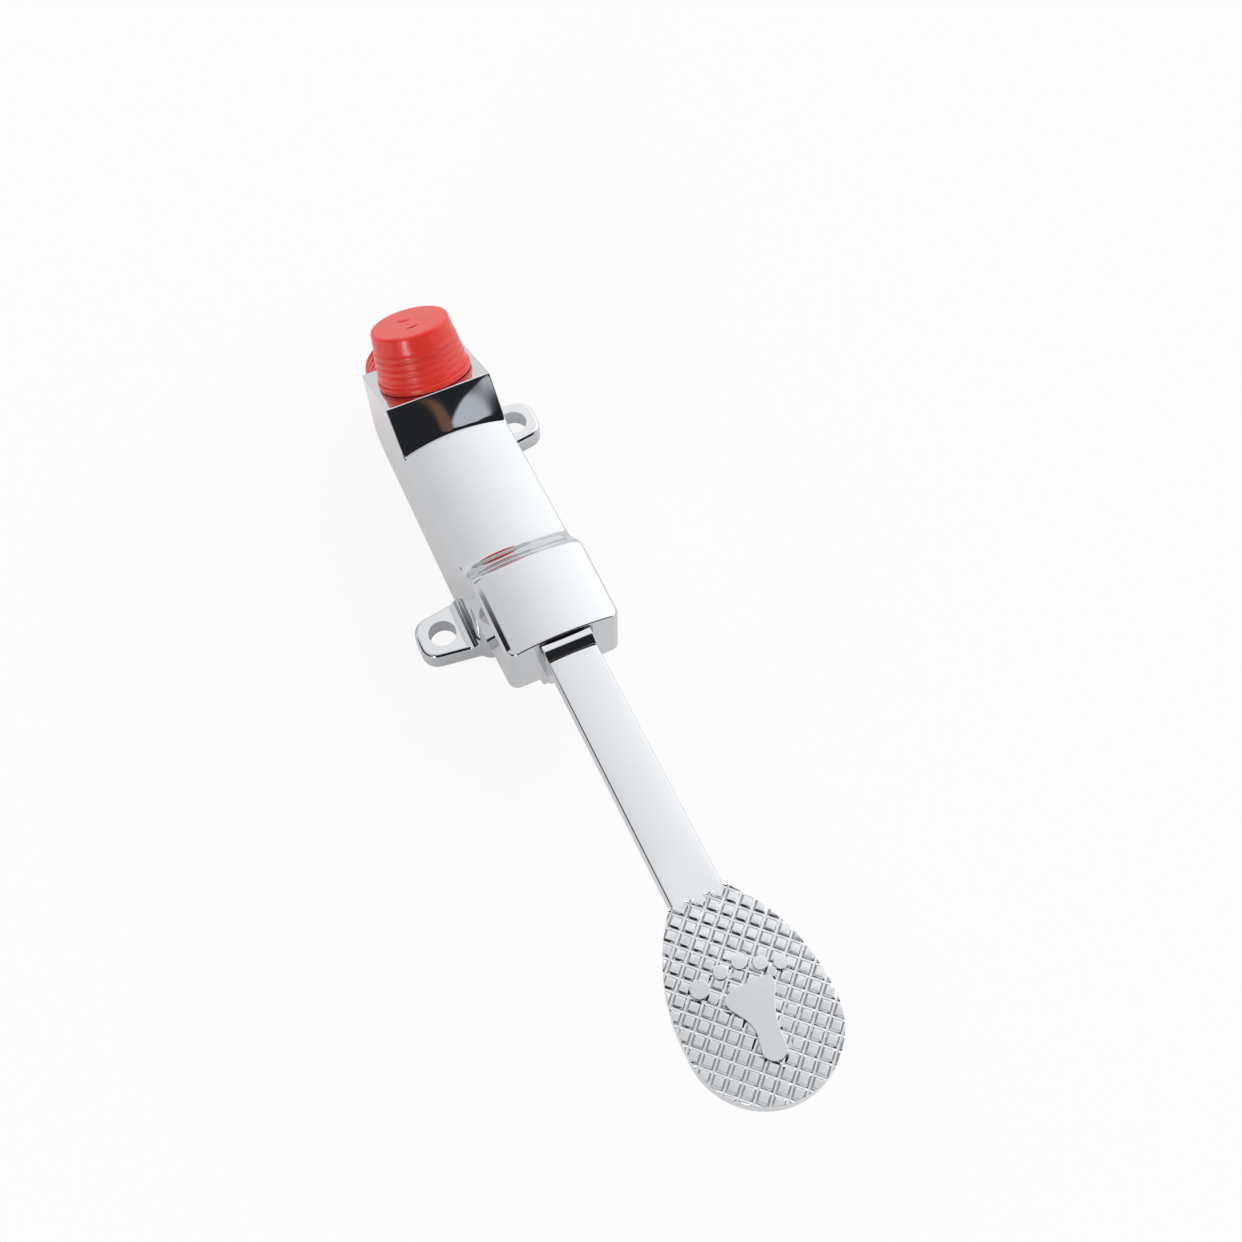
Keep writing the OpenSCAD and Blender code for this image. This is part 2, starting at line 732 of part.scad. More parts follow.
module spring_retainer() {
    ports = 4;
    color(steel) on_axis(retainer_face_y) difference() {
        cylinder(d = inlet_bore - 2 * fit, h = retainer_t);
        for (i = [0:ports - 1]) rotate([0, 0, 360 * (i + 0.5) / ports])
            translate([retainer_port_r, 0, -over]) cylinder(d = retainer_port_d, h = retainer_t + 2 * over);
    }
}

module inlet_strainer() {
    reach = 2;
    opening = strainer_pitch - strainer_bar;
    color(steel) on_axis(strainer_y) difference() {
        cylinder(d = strainer_d - 2 * fit, h = strainer_t);
        for (i = [-reach:reach], j = [-reach:reach]) if (abs(i) + abs(j) < 2 * reach)
            translate([i * strainer_pitch - opening / 2, j * strainer_pitch - opening / 2, -over])
                cube([opening, opening, strainer_t + 2 * over]);
    }
}

module inlet_nipple() {
    thread_y = rear_y + gasket_t;
    spring_room = retainer_back_y - spigot_end_y;
    color(brass) difference() {
        union() {
            on_axis(spigot_end_y) cylinder(d = inlet_spigot_d, h = inlet_spigot_l + gasket_t + over);
            on_axis(thread_y) cylinder(d = thread_d, h = inlet_thread_l);
        }
        on_axis(spigot_end_y - over) cylinder(d = mouth_bore, h = inlet_end_y - spigot_end_y + 2 * over);
        on_axis(spigot_end_y - over) cylinder(d = inlet_bore, h = spring_room + over + end_gap);
        on_axis(strainer_y - end_gap) cylinder(d = strainer_d, h = strainer_t + over + 2 * end_gap);
    }
}

module inlet_gasket() {
    color(fibre) on_axis(rear_y) tube(thread_d - 2 * gasket_inset, inlet_spigot_d + 2 * fit, gasket_t);
}

module outlet_nipple() {
    color(brass) on_port() difference() {
        union() {
            translate([0, 0, -outlet_spigot_l])
                cylinder(d = outlet_spigot_d, h = outlet_spigot_l + gasket_t + over);
            translate([0, 0, gasket_t]) cylinder(d = thread_d, h = outlet_thread_l);
        }
        translate([0, 0, -outlet_spigot_l - over])
            cylinder(d = outlet_nipple_bore, h = outlet_spigot_l + gasket_t + outlet_thread_l + 2 * over);
    }
}

module outlet_gasket() {
    color(fibre) on_port() tube(thread_d - 2 * gasket_inset, outlet_spigot_d + 2 * fit, gasket_t);
}

// Push-on thread cap: flange, tapered wall, closed end and an inner shoulder that meets the thread's end
module thread_cap(height, end_r, thread_l) {
    stop = gasket_t + thread_l + end_gap;
    wall_r = thread_d / 2 + cap_clear;
    brim = cap_foot_gap + cap_flange_t;
    rotate_extrude() polygon([[wall_r, cap_foot_gap], [cap_flange_r, cap_foot_gap], [cap_flange_r, brim],
        [cap_base_r, brim], [end_r, height], [0, height], [0, height - cap_end_t],
        [wall_r - cap_shoulder, height - cap_end_t], [wall_r - cap_shoulder, stop], [wall_r, stop]]);
}

module outlet_cap() {
    color(cap_red) on_port() thread_cap(outlet_cap_h, outlet_cap_r, outlet_thread_l);
}

module inlet_cap() {
    color(cap_red) on_axis(rear_y) thread_cap(inlet_cap_h, inlet_cap_r, inlet_thread_l);
}

valve_body();
pedal_lever();
hinge_pin();
pin_plug();
pivot_bushes();
plunger_rod();
thrust_cap();
gland_nut();
gland_washer();
gland_bush();
plunger_seals();
valve_seat();
seat_seal();
valve_disc();
disc_holder();
disc_nut();
return_spring();
spring_retainer();
inlet_strainer();
inlet_nipple();
inlet_gasket();
outlet_nipple();
outlet_gasket();
outlet_cap();
inlet_cap();
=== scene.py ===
"""Foot pedal tap valve, dressed: chromed body and pedal, red thread caps and the valve train inside.

Sizes in the classes are millimetres in the valve's own frame. Meshes are metres.
"""
import logging
import math
from contextlib import contextmanager
from dataclasses import dataclass
from enum import Enum
from typing import Any, Callable, Iterator, Sequence

import bpy
from mathutils import Matrix, Vector


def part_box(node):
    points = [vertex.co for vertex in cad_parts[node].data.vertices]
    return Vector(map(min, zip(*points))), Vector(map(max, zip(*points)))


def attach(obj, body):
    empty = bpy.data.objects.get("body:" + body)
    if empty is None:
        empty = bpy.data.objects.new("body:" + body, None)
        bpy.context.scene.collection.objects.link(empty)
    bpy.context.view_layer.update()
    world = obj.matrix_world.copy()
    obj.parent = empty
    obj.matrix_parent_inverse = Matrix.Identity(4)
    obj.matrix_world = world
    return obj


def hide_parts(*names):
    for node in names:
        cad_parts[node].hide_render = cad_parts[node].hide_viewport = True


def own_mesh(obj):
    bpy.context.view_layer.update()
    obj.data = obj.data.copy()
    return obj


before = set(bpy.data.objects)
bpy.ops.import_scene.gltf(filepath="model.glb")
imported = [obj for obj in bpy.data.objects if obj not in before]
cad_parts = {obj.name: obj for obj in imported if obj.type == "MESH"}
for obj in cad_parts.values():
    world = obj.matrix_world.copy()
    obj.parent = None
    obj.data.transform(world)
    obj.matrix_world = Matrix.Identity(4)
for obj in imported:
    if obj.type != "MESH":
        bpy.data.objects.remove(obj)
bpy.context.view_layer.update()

log = logging.getLogger("valve")

MM = 0.001
MERGE = 1e-6
NORMAL_WEIGHT = 60
PHOTO_SIZE = 1242

Place = tuple[float, float, float]
Spot = tuple[float, float]
Bore = tuple[float, float, float]
EdgeTest = Callable[[Vector, Vector], bool]

# Sizes that several pieces share, in millimetres and degrees
AXIS_Z = 14
REAR_Y = 44.5
PORT_AT: Place = (0, 31.385, 34.1)
PORT_LEAN = 30
PIN_Y = -52.5
PIN_Z = 38.5
THREAD_PITCH = 1.814
GASKET_T = 0.8


class Join(Enum):
    """How two solids are combined."""

    CUT = "DIFFERENCE"
    FUSE = "UNION"
    KEEP = "INTERSECT"


class Grain(Enum):
    """How a surface was made, which decides its fine relief."""

    POLISHED = "polished"
    MOULDED = "moulded"
    TURNED = "turned"
    PRESSED = "pressed"


def linear(code: str) -> tuple[float, float, float, float]:
    """Turns an sRGB hex colour to linear values.

    Args:
        code: colour such as "#C0C2C5".

    Returns:
        Red, green, blue and an alpha of 1.
    """
    parts = [int(code[i : i + 2], 16) / 255 for i in (1, 3, 5)]
    red, green, blue = (c / 12.92 if c <= 0.04045 else ((c + 0.055) / 1.055) ** 2.4 for c in parts)
    return red, green, blue, 1.0


def add_node(
    tree: bpy.types.NodeTree,
    kind: str,
    values: dict[str | int, Any] | None = None,
    links: dict[str | int, bpy.types.NodeSocket] | None = None,
    **settings: Any,
) -> bpy.types.Node:
    """Adds one shader node.

    Args:
        tree: node tree that takes the node.
        kind: node type without its ShaderNode prefix.
        values: socket values by name or index.
        links: source sockets by input name or index.
        settings: attributes of the node.

    Returns:
        The node.
    """
    node = tree.nodes.new("ShaderNode" + kind)
    for key, value in settings.items():
        setattr(node, key, value)
    for key, value in (values or {}).items():
        node.inputs[key].default_value = value
    for key, source in (links or {}).items():
        tree.links.new(source, node.inputs[key])
    return node


def start(add: Callable[..., Any], name: str, **settings: Any) -> bpy.types.Object:
    """Adds a primitive by itself.

    Args:
        add: operator that adds it.
        name: name of the new object.
        settings: the operator's settings.

    Returns:
        The new object.
    """
    bpy.ops.object.select_all(action="DESELECT")
    add(**settings)
    piece = bpy.context.object
    piece.name = name
    piece.data.name = name
    return piece


def activate(piece: bpy.types.Object) -> None:
    """Selects one object and makes it the active one.

    Args:
        piece: object to activate.
    """
    bpy.ops.object.select_all(action="DESELECT")
    piece.select_set(True)
    bpy.context.view_layer.objects.active = piece


@contextmanager
def editing(piece: bpy.types.Object, select: str = "VERT") -> Iterator[None]:
    """Opens an object in edit mode.

    Args:
        piece: object to edit.
        select: VERT, EDGE or FACE selection.

    Yields:
        Nothing, while the object is open.
    """
    activate(piece)
    bpy.ops.object.mode_set(mode="EDIT")
    bpy.ops.mesh.select_mode(type=select)
    yield
    bpy.ops.object.mode_set(mode="OBJECT")


def set_points(piece: bpy.types.Object, points: Sequence[Place]) -> None:
    """Moves an object's vertices to the given places in millimetres."""
    piece.data.vertices.foreach_set("co", [value * MM for point in points for value in point])
    piece.data.update()


@contextmanager
def picked_edges(piece: bpy.types.Object, test: EdgeTest) -> Iterator[None]:
    """Opens an object in edit mode with some of its edges selected.

    Args:
        piece: object to edit.
        test: says whether an edge is one of them, from its two ends in millimetres.

    Yields:
        Nothing, while the object is open.
    """
    mesh = piece.data
    with editing(piece, "EDGE"):
        bpy.ops.mesh.select_all(action="DESELECT")
        bpy.ops.object.mode_set(mode="OBJECT")
        for item in (*mesh.vertices, *mesh.edges, *mesh.polygons):
            item.select = False
        for edge in mesh.edges:
            a, b = (mesh.vertices[i].co / MM for i in edge.vertices)
            edge.select = test(a, b)
        bpy.ops.object.mode_set(mode="EDIT")
        yield


def round_edges(piece: bpy.types.Object, width: float, steps: int, test: EdgeTest) -> None:
    """Bevels the edges that pass a test.

    Args:
        piece: object to bevel.
        width: width of the bevel in millimetres.
        steps: segments of the bevel.
        test: says whether an edge is one of them, from its two ends.
    """
    with picked_edges(piece, test):
        bpy.ops.mesh.bevel(offset=width * MM, segments=steps, profile=0.5, clamp_overlap=True)


def apply_modifier(piece: bpy.types.Object, kind: str, **settings: Any) -> None:
    """Adds a modifier and applies it.

    Args:
        piece: object that takes it.
        kind: type of the modifier.
        settings: the modifier's settings.
    """
    modifier = piece.modifiers.new(kind.lower(), kind)
    for key, value in settings.items():
        setattr(modifier, key, value)
    activate(piece)
    bpy.ops.object.modifier_apply(modifier=modifier.name)


def combine(piece: bpy.types.Object, tool: bpy.types.Object, how: Join) -> None:
    """Cuts a tool out of a piece, fuses it on or keeps what both share, and removes the tool.

    Args:
        piece: closed solid that stays.
        tool: closed solid that is used up.
        how: the way they are combined.
    """
    apply_modifier(piece, "BOOLEAN", operation=how.value, solver="MANIFOLD", object=tool)
    mesh = tool.data
    bpy.data.objects.remove(tool)
    bpy.data.meshes.remove(mesh)


def cut_lengthwise(piece: bpy.types.Object, cuts: int) -> None:
    """Divides the long edges of a prism that lies along y."""
    with picked_edges(piece, lambda a, b: abs(a.y - b.y) > 1):
        bpy.ops.mesh.subdivide(number_cuts=cuts)


def extruded(name: str, outline: Sequence[Place], depth: Place) -> bpy.types.Object:
    """Makes a closed prism.

    Args:
        name: name of the prism.
        outline: corners of its flat outline.
        depth: direction and length of the extrusion.

    Returns:
        The prism, with its faces outwards.
    """
    piece = start(bpy.ops.mesh.primitive_circle_add, name, vertices=len(outline), fill_type="NGON")
    set_points(piece, outline)
    with editing(piece, "FACE"):
        bpy.ops.mesh.select_all(action="SELECT")
        bpy.ops.mesh.extrude_region_move(TRANSFORM_OT_translate={"value": [d * MM for d in depth]})
        bpy.ops.mesh.select_all(action="SELECT")
        bpy.ops.mesh.normals_make_consistent(inside=False)
    return piece


def side_prism(name: str, outline: Sequence[Spot], width: float) -> bpy.types.Object:
    """Makes a prism of a side outline (y, z), centred across the valve."""
    return extruded(name, [(-width / 2, y, z) for y, z in outline], (width, 0, 0))


def turned(name: str, profile: Sequence[Spot], steps: int) -> bpy.types.Object:
    """Spins a closed profile (r, z) round the z axis.

    Args:
        name: name of the piece.
        profile: corners of the closed profile.
        steps: faces round the piece.

    Returns:
        The turned piece, with poles and seam closed.
    """
    piece = start(bpy.ops.mesh.primitive_circle_add, name, vertices=len(profile), fill_type="NOTHING")
    set_points(piece, [(r, 0, z) for r, z in profile])
    with editing(piece):
        bpy.ops.mesh.select_all(action="SELECT")
        bpy.ops.mesh.spin(steps=steps, angle=math.tau, center=(0, 0, 0), axis=(0, 0, 1))
        bpy.ops.mesh.select_all(action="SELECT")
        bpy.ops.mesh.remove_doubles(threshold=MERGE)
        bpy.ops.mesh.delete_loose(use_verts=True, use_edges=True, use_faces=False)
        bpy.ops.mesh.select_all(action="SELECT")
        bpy.ops.mesh.normals_make_consistent(inside=False)
    return piece


def rod(name: str, radius: float, length: float, place: Matrix, sides: int = 64) -> bpy.types.Object:
    """Makes a plain cutting or fusing cylinder.

    Args:
        name: name of the cylinder.
        radius: its radius.
        length: its length along z from the frame's origin.
        place: the frame it stands in.
        sides: faces round it.

    Returns:
        The cylinder.
    """
    piece = turned(name, [(0, 0), (radius, 0), (radius, length), (0, length)], sides)
    piece.data.transform(place)
    return piece


def bend(first: Spot, corner: Spot, last: Spot, steps: int) -> list[Spot]:
    """Gives the points of a smooth bend that leaves both legs at a tangent.

    Args:
        first: where the bend leaves the first leg.
        corner: where the two legs would meet.
        last: where the bend joins the second leg.
        steps: number of steps along it.

    Returns:
        The points, both ends among them.
    """
    points = []
    for i in range(steps + 1):
        t = i / steps
        shares = ((1 - t) ** 2, 2 * t * (1 - t), t * t)
        legs = tuple(zip(shares, (first, corner, last)))
        points.append(tuple(sum(share * point[k] for share, point in legs) for k in (0, 1)))
    return points


def arc(centre: Spot, radius: float, begin: float, end: float, steps: int) -> list[Spot]:
    """Gives the points of an arc between two angles in degrees."""
    angles = [math.radians(begin + (end - begin) * i / steps) for i in range(steps + 1)]
    return [(centre[0] + radius * math.cos(a), centre[1] + radius * math.sin(a)) for a in angles]


def spread(low: float, high: float, count: int) -> list[float]:
    """Gives evenly spread values between two limits, without the limits."""
    return [low + (high - low) * (i + 1) / (count + 1) for i in range(count)]


def quarter_drop(distance: float, radius: float) -> float:
    """Gives how far a rounded edge has dropped.

    Args:
        distance: how far inside the edge.
        radius: radius of the rounding.

    Returns:
        The drop, which is 0 past the rounding.
    """
    if radius <= 0 or distance >= radius:
        return 0.0
    inside = radius - max(distance, 0.0)
    return radius - math.sqrt(max(radius * radius - inside * inside, 0.0))


def along_y(x: float, y: float, z: float) -> Matrix:
    """Frame whose z axis runs back along +Y."""
    return Matrix.Translation(Vector((x, y, z)) * MM) @ Matrix.Rotation(math.radians(-90), 4, "X")


def along_x(x: float, y: float, z: float) -> Matrix:
    """Frame whose z axis runs along +X."""
    return Matrix.Translation(Vector((x, y, z)) * MM) @ Matrix.Rotation(math.radians(90), 4, "Y")


def port_frame() -> Matrix:
    """Frame of the sloping outlet, whose z axis runs out of the port."""
    return Matrix.Translation(Vector(PORT_AT) * MM) @ Matrix.Rotation(math.radians(-PORT_LEAN), 4, "X")


def settle(piece: bpy.types.Object, finish: "Finish", body: str, *nodes: str) -> bpy.types.Object:
    """Dresses a piece and ties it to the frame.

    Args:
        piece: finished mesh.
        finish: its finish.
        body: the body that it moves with.
        nodes: the solids that it stands for.

    Returns:
        The piece.
    """
    piece.data.materials.clear()
    piece.data.materials.append(finish.material())
    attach(piece, body)
    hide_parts(*nodes)
    log.info("%s: %d faces on %s", piece.name, len(piece.data.polygons), body)
    return piece


def smooth(piece: bpy.types.Object, angle: float) -> None:
    """Shades a piece smooth, with edges sharper than an angle in degrees left crisp."""
    activate(piece)
    bpy.ops.object.shade_smooth_by_angle(angle=math.radians(angle))


def polish(piece: bpy.types.Object, angle: float) -> None:
    """Shades a piece smooth as above, with its normals led by the large faces."""
    smooth(piece, angle)
    apply_modifier(piece, "WEIGHTED_NORMAL", keep_sharp=True, weight=NORMAL_WEIGHT)


def ease_edges(piece: bpy.types.Object, width: float, angle: float) -> None:
    """Bevels all edges sharper than an angle.

    Args:
        piece: object to ease.
        width: width of the eased edges in millimetres.
        angle: edges sharper than this, in degrees, are eased.
    """
    limit = math.radians(angle)
    apply_modifier(piece, "BEVEL", limit_method="ANGLE", angle_limit=limit, width=width * MM, segments=2)


def eased_copy(node: str, width: float, angle: float = 40) -> bpy.types.Object:
    """Copies a solid's mesh and eases its edges.

    Args:
        node: the solid's name.
        width: width of the eased edges in millimetres.
        angle: edges sharper than this, in degrees, are eased.

    Returns:
        The eased copy.
    """
    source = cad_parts[node]
    piece = source.copy()
    piece.data = source.data.copy()
    piece.name = "eased_" + node
    piece.parent = None
    bpy.context.scene.collection.objects.link(piece)
    activate(piece)
    bpy.ops.mesh.customdata_custom_splitnormals_clear()
    with editing(piece):
        bpy.ops.mesh.select_all(action="SELECT")
        bpy.ops.mesh.remove_doubles(threshold=MERGE)
        bpy.ops.mesh.dissolve_limited(angle_limit=math.radians(1))
    ease_edges(piece, width, angle)
    smooth(piece, 30)
    return piece


@dataclass(frozen=True)
class Finish:
    """One material of the valve and how its surface was made."""

    name: str
    slot: str
    colour: str
    shade: str
    metallic: float
    roughness: float
    grain: Grain
    grain_mm: float
    relief_mm: float
    ior: float = 1.5
    scatter: float = 0.0
    scatter_mm: float = 0.0

    def material(self) -> bpy.types.Material:
        """Gives the finish's material.

        Returns:
            The material, made once.
        """
        found = bpy.data.materials.get(self.name)
        if found:
            return found
        material = bpy.data.materials.new(self.name)
        material.use_nodes = True
        tree = material.node_tree
        shader = tree.nodes["Principled BSDF"]
        shader.inputs["Metallic"].default_value = self.metallic
        if not self.metallic:
            shader.inputs["IOR"].default_value = self.ior
        if self.scatter:
            shader.inputs["Subsurface Weight"].default_value = self.scatter
            shader.inputs["Subsurface Scale"].default_value = self.scatter_mm * MM
        self.dress(tree, shader)
        return material

    def dress(self, tree: bpy.types.NodeTree, shader: bpy.types.Node) -> None:
        """Adds the colour, gloss and relief patterns.

        Args:
            tree: the material's nodes.
            shader: its surface shader.
        """
        spot = add_node(tree, "TexCoord").outputs["Object"]
        fine = self.pattern(tree, spot)
        cloud = add_node(
            tree, "TexNoise", {"Scale": 1 / (12 * MM), "Detail": 3.0}, {"Vector": spot}
        ).outputs["Fac"]
        tint = add_node(
            tree, "Mix", {6: linear(self.colour), 7: linear(self.shade)}, {0: cloud}, data_type="RGBA"
        )
        tree.links.new(tint.outputs[2], shader.inputs["Base Color"])
        gloss = add_node(
            tree,
            "MapRange",
            {"To Min": 0.75 * self.roughness, "To Max": 1.25 * self.roughness},
            {"Value": cloud},
        )
        tree.links.new(gloss.outputs["Result"], shader.inputs["Roughness"])
        relief = {"Distance": self.relief_mm * MM, "Strength": 1.0}
        bump = add_node(tree, "Bump", relief, {"Height": fine})
        tree.links.new(bump.outputs["Normal"], shader.inputs["Normal"])

    def pattern(self, tree: bpy.types.NodeTree, spot: bpy.types.NodeSocket) -> bpy.types.NodeSocket:
        """Adds the fine relief of the surface.

        Args:
            tree: the material's nodes.
            spot: object coordinates.

        Returns:
            The height, from 0 to 1.
        """
        scale = 1 / (self.grain_mm * MM)
        if self.grain is Grain.TURNED:
            rings = add_node(
                tree,
                "TexWave",
                {"Scale": scale / math.tau, "Distortion": 0.6, "Detail": 2.0},
                {"Vector": spot},
                wave_type="BANDS",
                bands_direction="Y",
            )
            return rings.outputs["Fac"]
        detail = {Grain.POLISHED: 0.0, Grain.MOULDED: 4.0, Grain.PRESSED: 8.0}[self.grain]
        noise = add_node(tree, "TexNoise", {"Scale": scale, "Detail": detail}, {"Vector": spot})
        return noise.outputs["Fac"]


# Chrome plate on polished cast brass: a cool mirror with the faint waves that hand polishing leaves
CHROME = Finish(
    "polished_chrome_plate", "chrome", "#D4D6D8", "#CFD1D4", 1, 0.035, Grain.POLISHED, 9, 0.006
)
# Low-density polyethylene, moulded: satin red that lets some light through
RED_CAP = Finish(
    "moulded_red_polyethylene", "red_plastic", "#FF4236", "#F23A2E", 0, 0.25, Grain.MOULDED, 1.2, 0.02,
    ior=1.51, scatter=0.6, scatter_mm=3,
)
# Machined brass: warm and slightly dull from the turning tool
BRASS = Finish("machined_brass", "brass", "#D1A94F", "#B98F3C", 1, 0.24, Grain.TURNED, 0.35, 0.01)
# Stainless steel, turned and brushed
STEEL = Finish(
    "turned_stainless_steel", "steel", "#B4B8BC", "#A2A7AC", 1, 0.22, Grain.TURNED, 0.3, 0.008
)
# Nitrile rubber, moulded: near black and soft in its gloss
RUBBER = Finish(
    "moulded_nitrile_rubber", "rubber", "#222326", "#1A1B1D", 0, 0.55, Grain.MOULDED, 0.6, 0.02
)
# Natural acetal, turned from rod: milky white with a low sheen
ACETAL = Finish(
    "natural_acetal", "acetal", "#EFEDE6", "#E4E1D8", 0, 0.38, Grain.TURNED, 0.4, 0.006,
    ior=1.48, scatter=0.2, scatter_mm=1,
)
# Pressed fibre gasket: brown paper fibres, quite matt
FIBRE = Finish("pressed_fibre", "fibre", "#9A6A4A", "#7F5338", 0, 0.8, Grain.PRESSED, 0.5, 0.06)


@dataclass
class ValveBody:
    """Cast body: port block, crowned middle, lever housing and two floor ears."""

    half_w: float = 14.4
    rear_corner_r: float = 8
    rear_upright_r: float = 1
    ridge_y: float = 20.3
    ridge_z: float = 40.5
    front_slope: float = 40
    crown_rear_z: float = 33.2
    crown_tilt: float = 5.5
    crown_r: float = 55
    shoulder_r: float = 1
    strip_y: float = -27.5
    step_y: float = -38.2
    step_ease: float = 1.6
    strip_slope: float = 56
    housing_crown_r: float = 55
    slope_crown_r: float = 120
    slope_bulge: float = 0.2
    corner_r: float = 2.5
    side_edge_r: float = 2
    front_edge_r: float = 0.4
    block_edge_r: float = 0.3
    ridge_ease: float = 0.3
    foot_ease: float = 0.8
    lip_t: float = 1
    slot_w: float = 14
    slot_back: float = -44
    base_front: float = -37
    base_corner_r: float = 4
    under_z: float = 24.8
    under_y: float = -43
    housing_bottom: float = 28.8
    pin_r: float = 3.02
    plug_r: float = 3.82
    plug_x: float = 11.45
    hole_x: float = 21.6
    hole_y: float = 27.3
    hole_r: float = 3.7
    ear_t: float = 5.4
    ear_rim: float = 3.2
    ear_end_w: float = 12.6
    ear_root_w: float = 16
    ear_corner_r: float = 4.5
    ear_edge_r: float = 1
    ear_hollow_r: float = 2
    edge_ease: float = 0.25
    over: float = 1
    # Shares of the shoulder's turn at which its columns stand
    shoulder_shares: tuple[float, ...] = (0.14, 0.28, 0.41, 0.53, 0.64, 0.74, 0.83, 0.9, 0.96)
    # Radius, start and end of each bore on the valve's axis
    axis_bores: tuple[Bore, ...] = (
        (7.02, -38, -23.95), (6, -30, 30), (8.02, 28.5, 44), (9.02, 37.45, 46),
    )
    # Radius, depth and reach past the face of each bore in the outlet
    port_bores: tuple[Bore, ...] = ((4.5, 22, 0), (8.02, 5.55, 1))

    def __post_init__(self) -> None:
        """Takes the body's reach from the frame."""
        low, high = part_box("valve_body")
        self.front_y: float = low.y / MM
        self.rear_y: float = high.y / MM
        self.top_z: float = high.z / MM
        self.core_x: float = self.half_w - self.corner_r
        rise = self.ridge_z - self.crown_rear_z
        self.crown_y: float = self.ridge_y - rise / math.tan(math.radians(self.front_slope))
        self.shoulder_x: float = self.half_w - self.shoulder_r
        reach = self.crown_r - self.shoulder_r
        self.shoulder_z: float = math.sqrt(reach**2 - self.shoulder_x**2) - self.crown_r
        self.touch_x: float = self.crown_r * self.shoulder_x / reach

    def build(self) -> bpy.types.Object:
        """Builds the body and dresses it.

        Returns:
            The chromed body.
        """
        body = self.hull()
        for side in (-1, 1):
            combine(body, self.base_corner(side), Join.CUT)
        for turn in (0, 180):
            combine(body, self.ear(turn), Join.FUSE)
        for tool in self.cutters():
            combine(body, tool, Join.CUT)
        ease_edges(body, self.edge_ease, 55)
        polish(body, 32)
        return settle(body, CHROME, "body", "valve_body")

    def columns(self) -> list[float]:
        """Gives the places across the body at which its top is measured.

        Returns:
            The places from left to right, closer together on the shoulders.
        """
        inner = [self.touch_x * i / 8 for i in range(9)]
        begin = math.asin(self.shoulder_x / (self.crown_r - self.shoulder_r))
        angles = [begin + (math.pi / 2 - begin) * share for share in self.shoulder_shares]
        outer = [self.shoulder_x + self.shoulder_r * math.sin(angle) for angle in angles]
        half = inner + outer + [self.half_w]
        return [-x for x in reversed(half[1:])] + half

    def crown_drop(self, x: float) -> float:
        """Gives how far the crown has dropped.

        Args:
            x: distance from the middle.

        Returns:
            The drop, along the crown's arc and then round its shoulder.
        """
        if abs(x) <= self.touch_x:
            return self.crown_r - math.sqrt(self.crown_r**2 - x * x)
        side = min(abs(x) - self.shoulder_x, self.shoulder_r)
        return -self.shoulder_z - math.sqrt(self.shoulder_r**2 - side * side)

    def port_z(self, y: float) -> float:
        """Height of the sloping port face."""
        return self.ridge_z - (y - self.ridge_y) * math.tan(math.radians(PORT_LEAN))

    def slope_z(self, x: float, y: float) -> float:
        """Gives the height of the port block's front slope, a little crowned both ways by polishing.

        Args:
            x: place across the body.
            y: place along the body.

        Returns:
            The height.
        """
        straight = self.ridge_z - (self.ridge_y - y) * math.tan(math.radians(self.front_slope))
        share = max((self.ridge_y - y) / (self.ridge_y - self.crown_y), 0.0)
        return straight + share * (4 * self.slope_bulge * (1 - share) - x * x / 2 / self.slope_crown_r)

    def crown_z(self, x: float, y: float) -> float:
        """Height of the crowned middle."""
        lift = (self.crown_y - y) * math.tan(math.radians(self.crown_tilt))
        return self.crown_rear_z + lift - self.crown_drop(x)

    def narrowing(self, y: float) -> float:
        """Gives how far the upright corners draw the sides in at a place along the body."""
        front = quarter_drop(y - self.front_y, self.corner_r)
        return front + quarter_drop(self.rear_y - y, self.rear_upright_r)

    def drawn_in(self, x: float, y: float) -> float:
        """Gives a column's place where the corners draw it in.

        Args:
            x: the column's own place across the body.
            y: place along the body.

        Returns:
            The place across the body.
        """
        inward = self.narrowing(y)
        if abs(x) > self.core_x:
            return math.copysign(abs(x) - inward, x)
        return x * (self.core_x - inward) / self.core_x

    def housing_drop(self, x: float, y: float) -> float:
        """Gives how far the housing's crowned top and its rounded edge have dropped."""
        return x * x / 2 / self.housing_crown_r + self.housing_edge_drop(x, y)

    def housing_edge_drop(self, x: float, y: float) -> float:
        """Gives the drop of the housing's rounded edge alone.

        Args:
            x: place across the body.
            y: place along the body.

        Returns:
            The drop, with the radius growing round the corner from the front to the sides.
        """
        centre_y = self.front_y + self.corner_r
        if y >= centre_y:
            return quarter_drop(self.half_w - abs(x), self.side_edge_r)
        if abs(x) <= self.core_x:
            return quarter_drop(y - self.front_y, self.front_edge_r)
        across, ahead = abs(x) - self.core_x, centre_y - y
        turn = math.sin(math.atan2(across, ahead)) ** 2
        radius = self.front_edge_r + (self.side_edge_r - self.front_edge_r) * turn
        return quarter_drop(self.corner_r - math.hypot(across, ahead), radius)

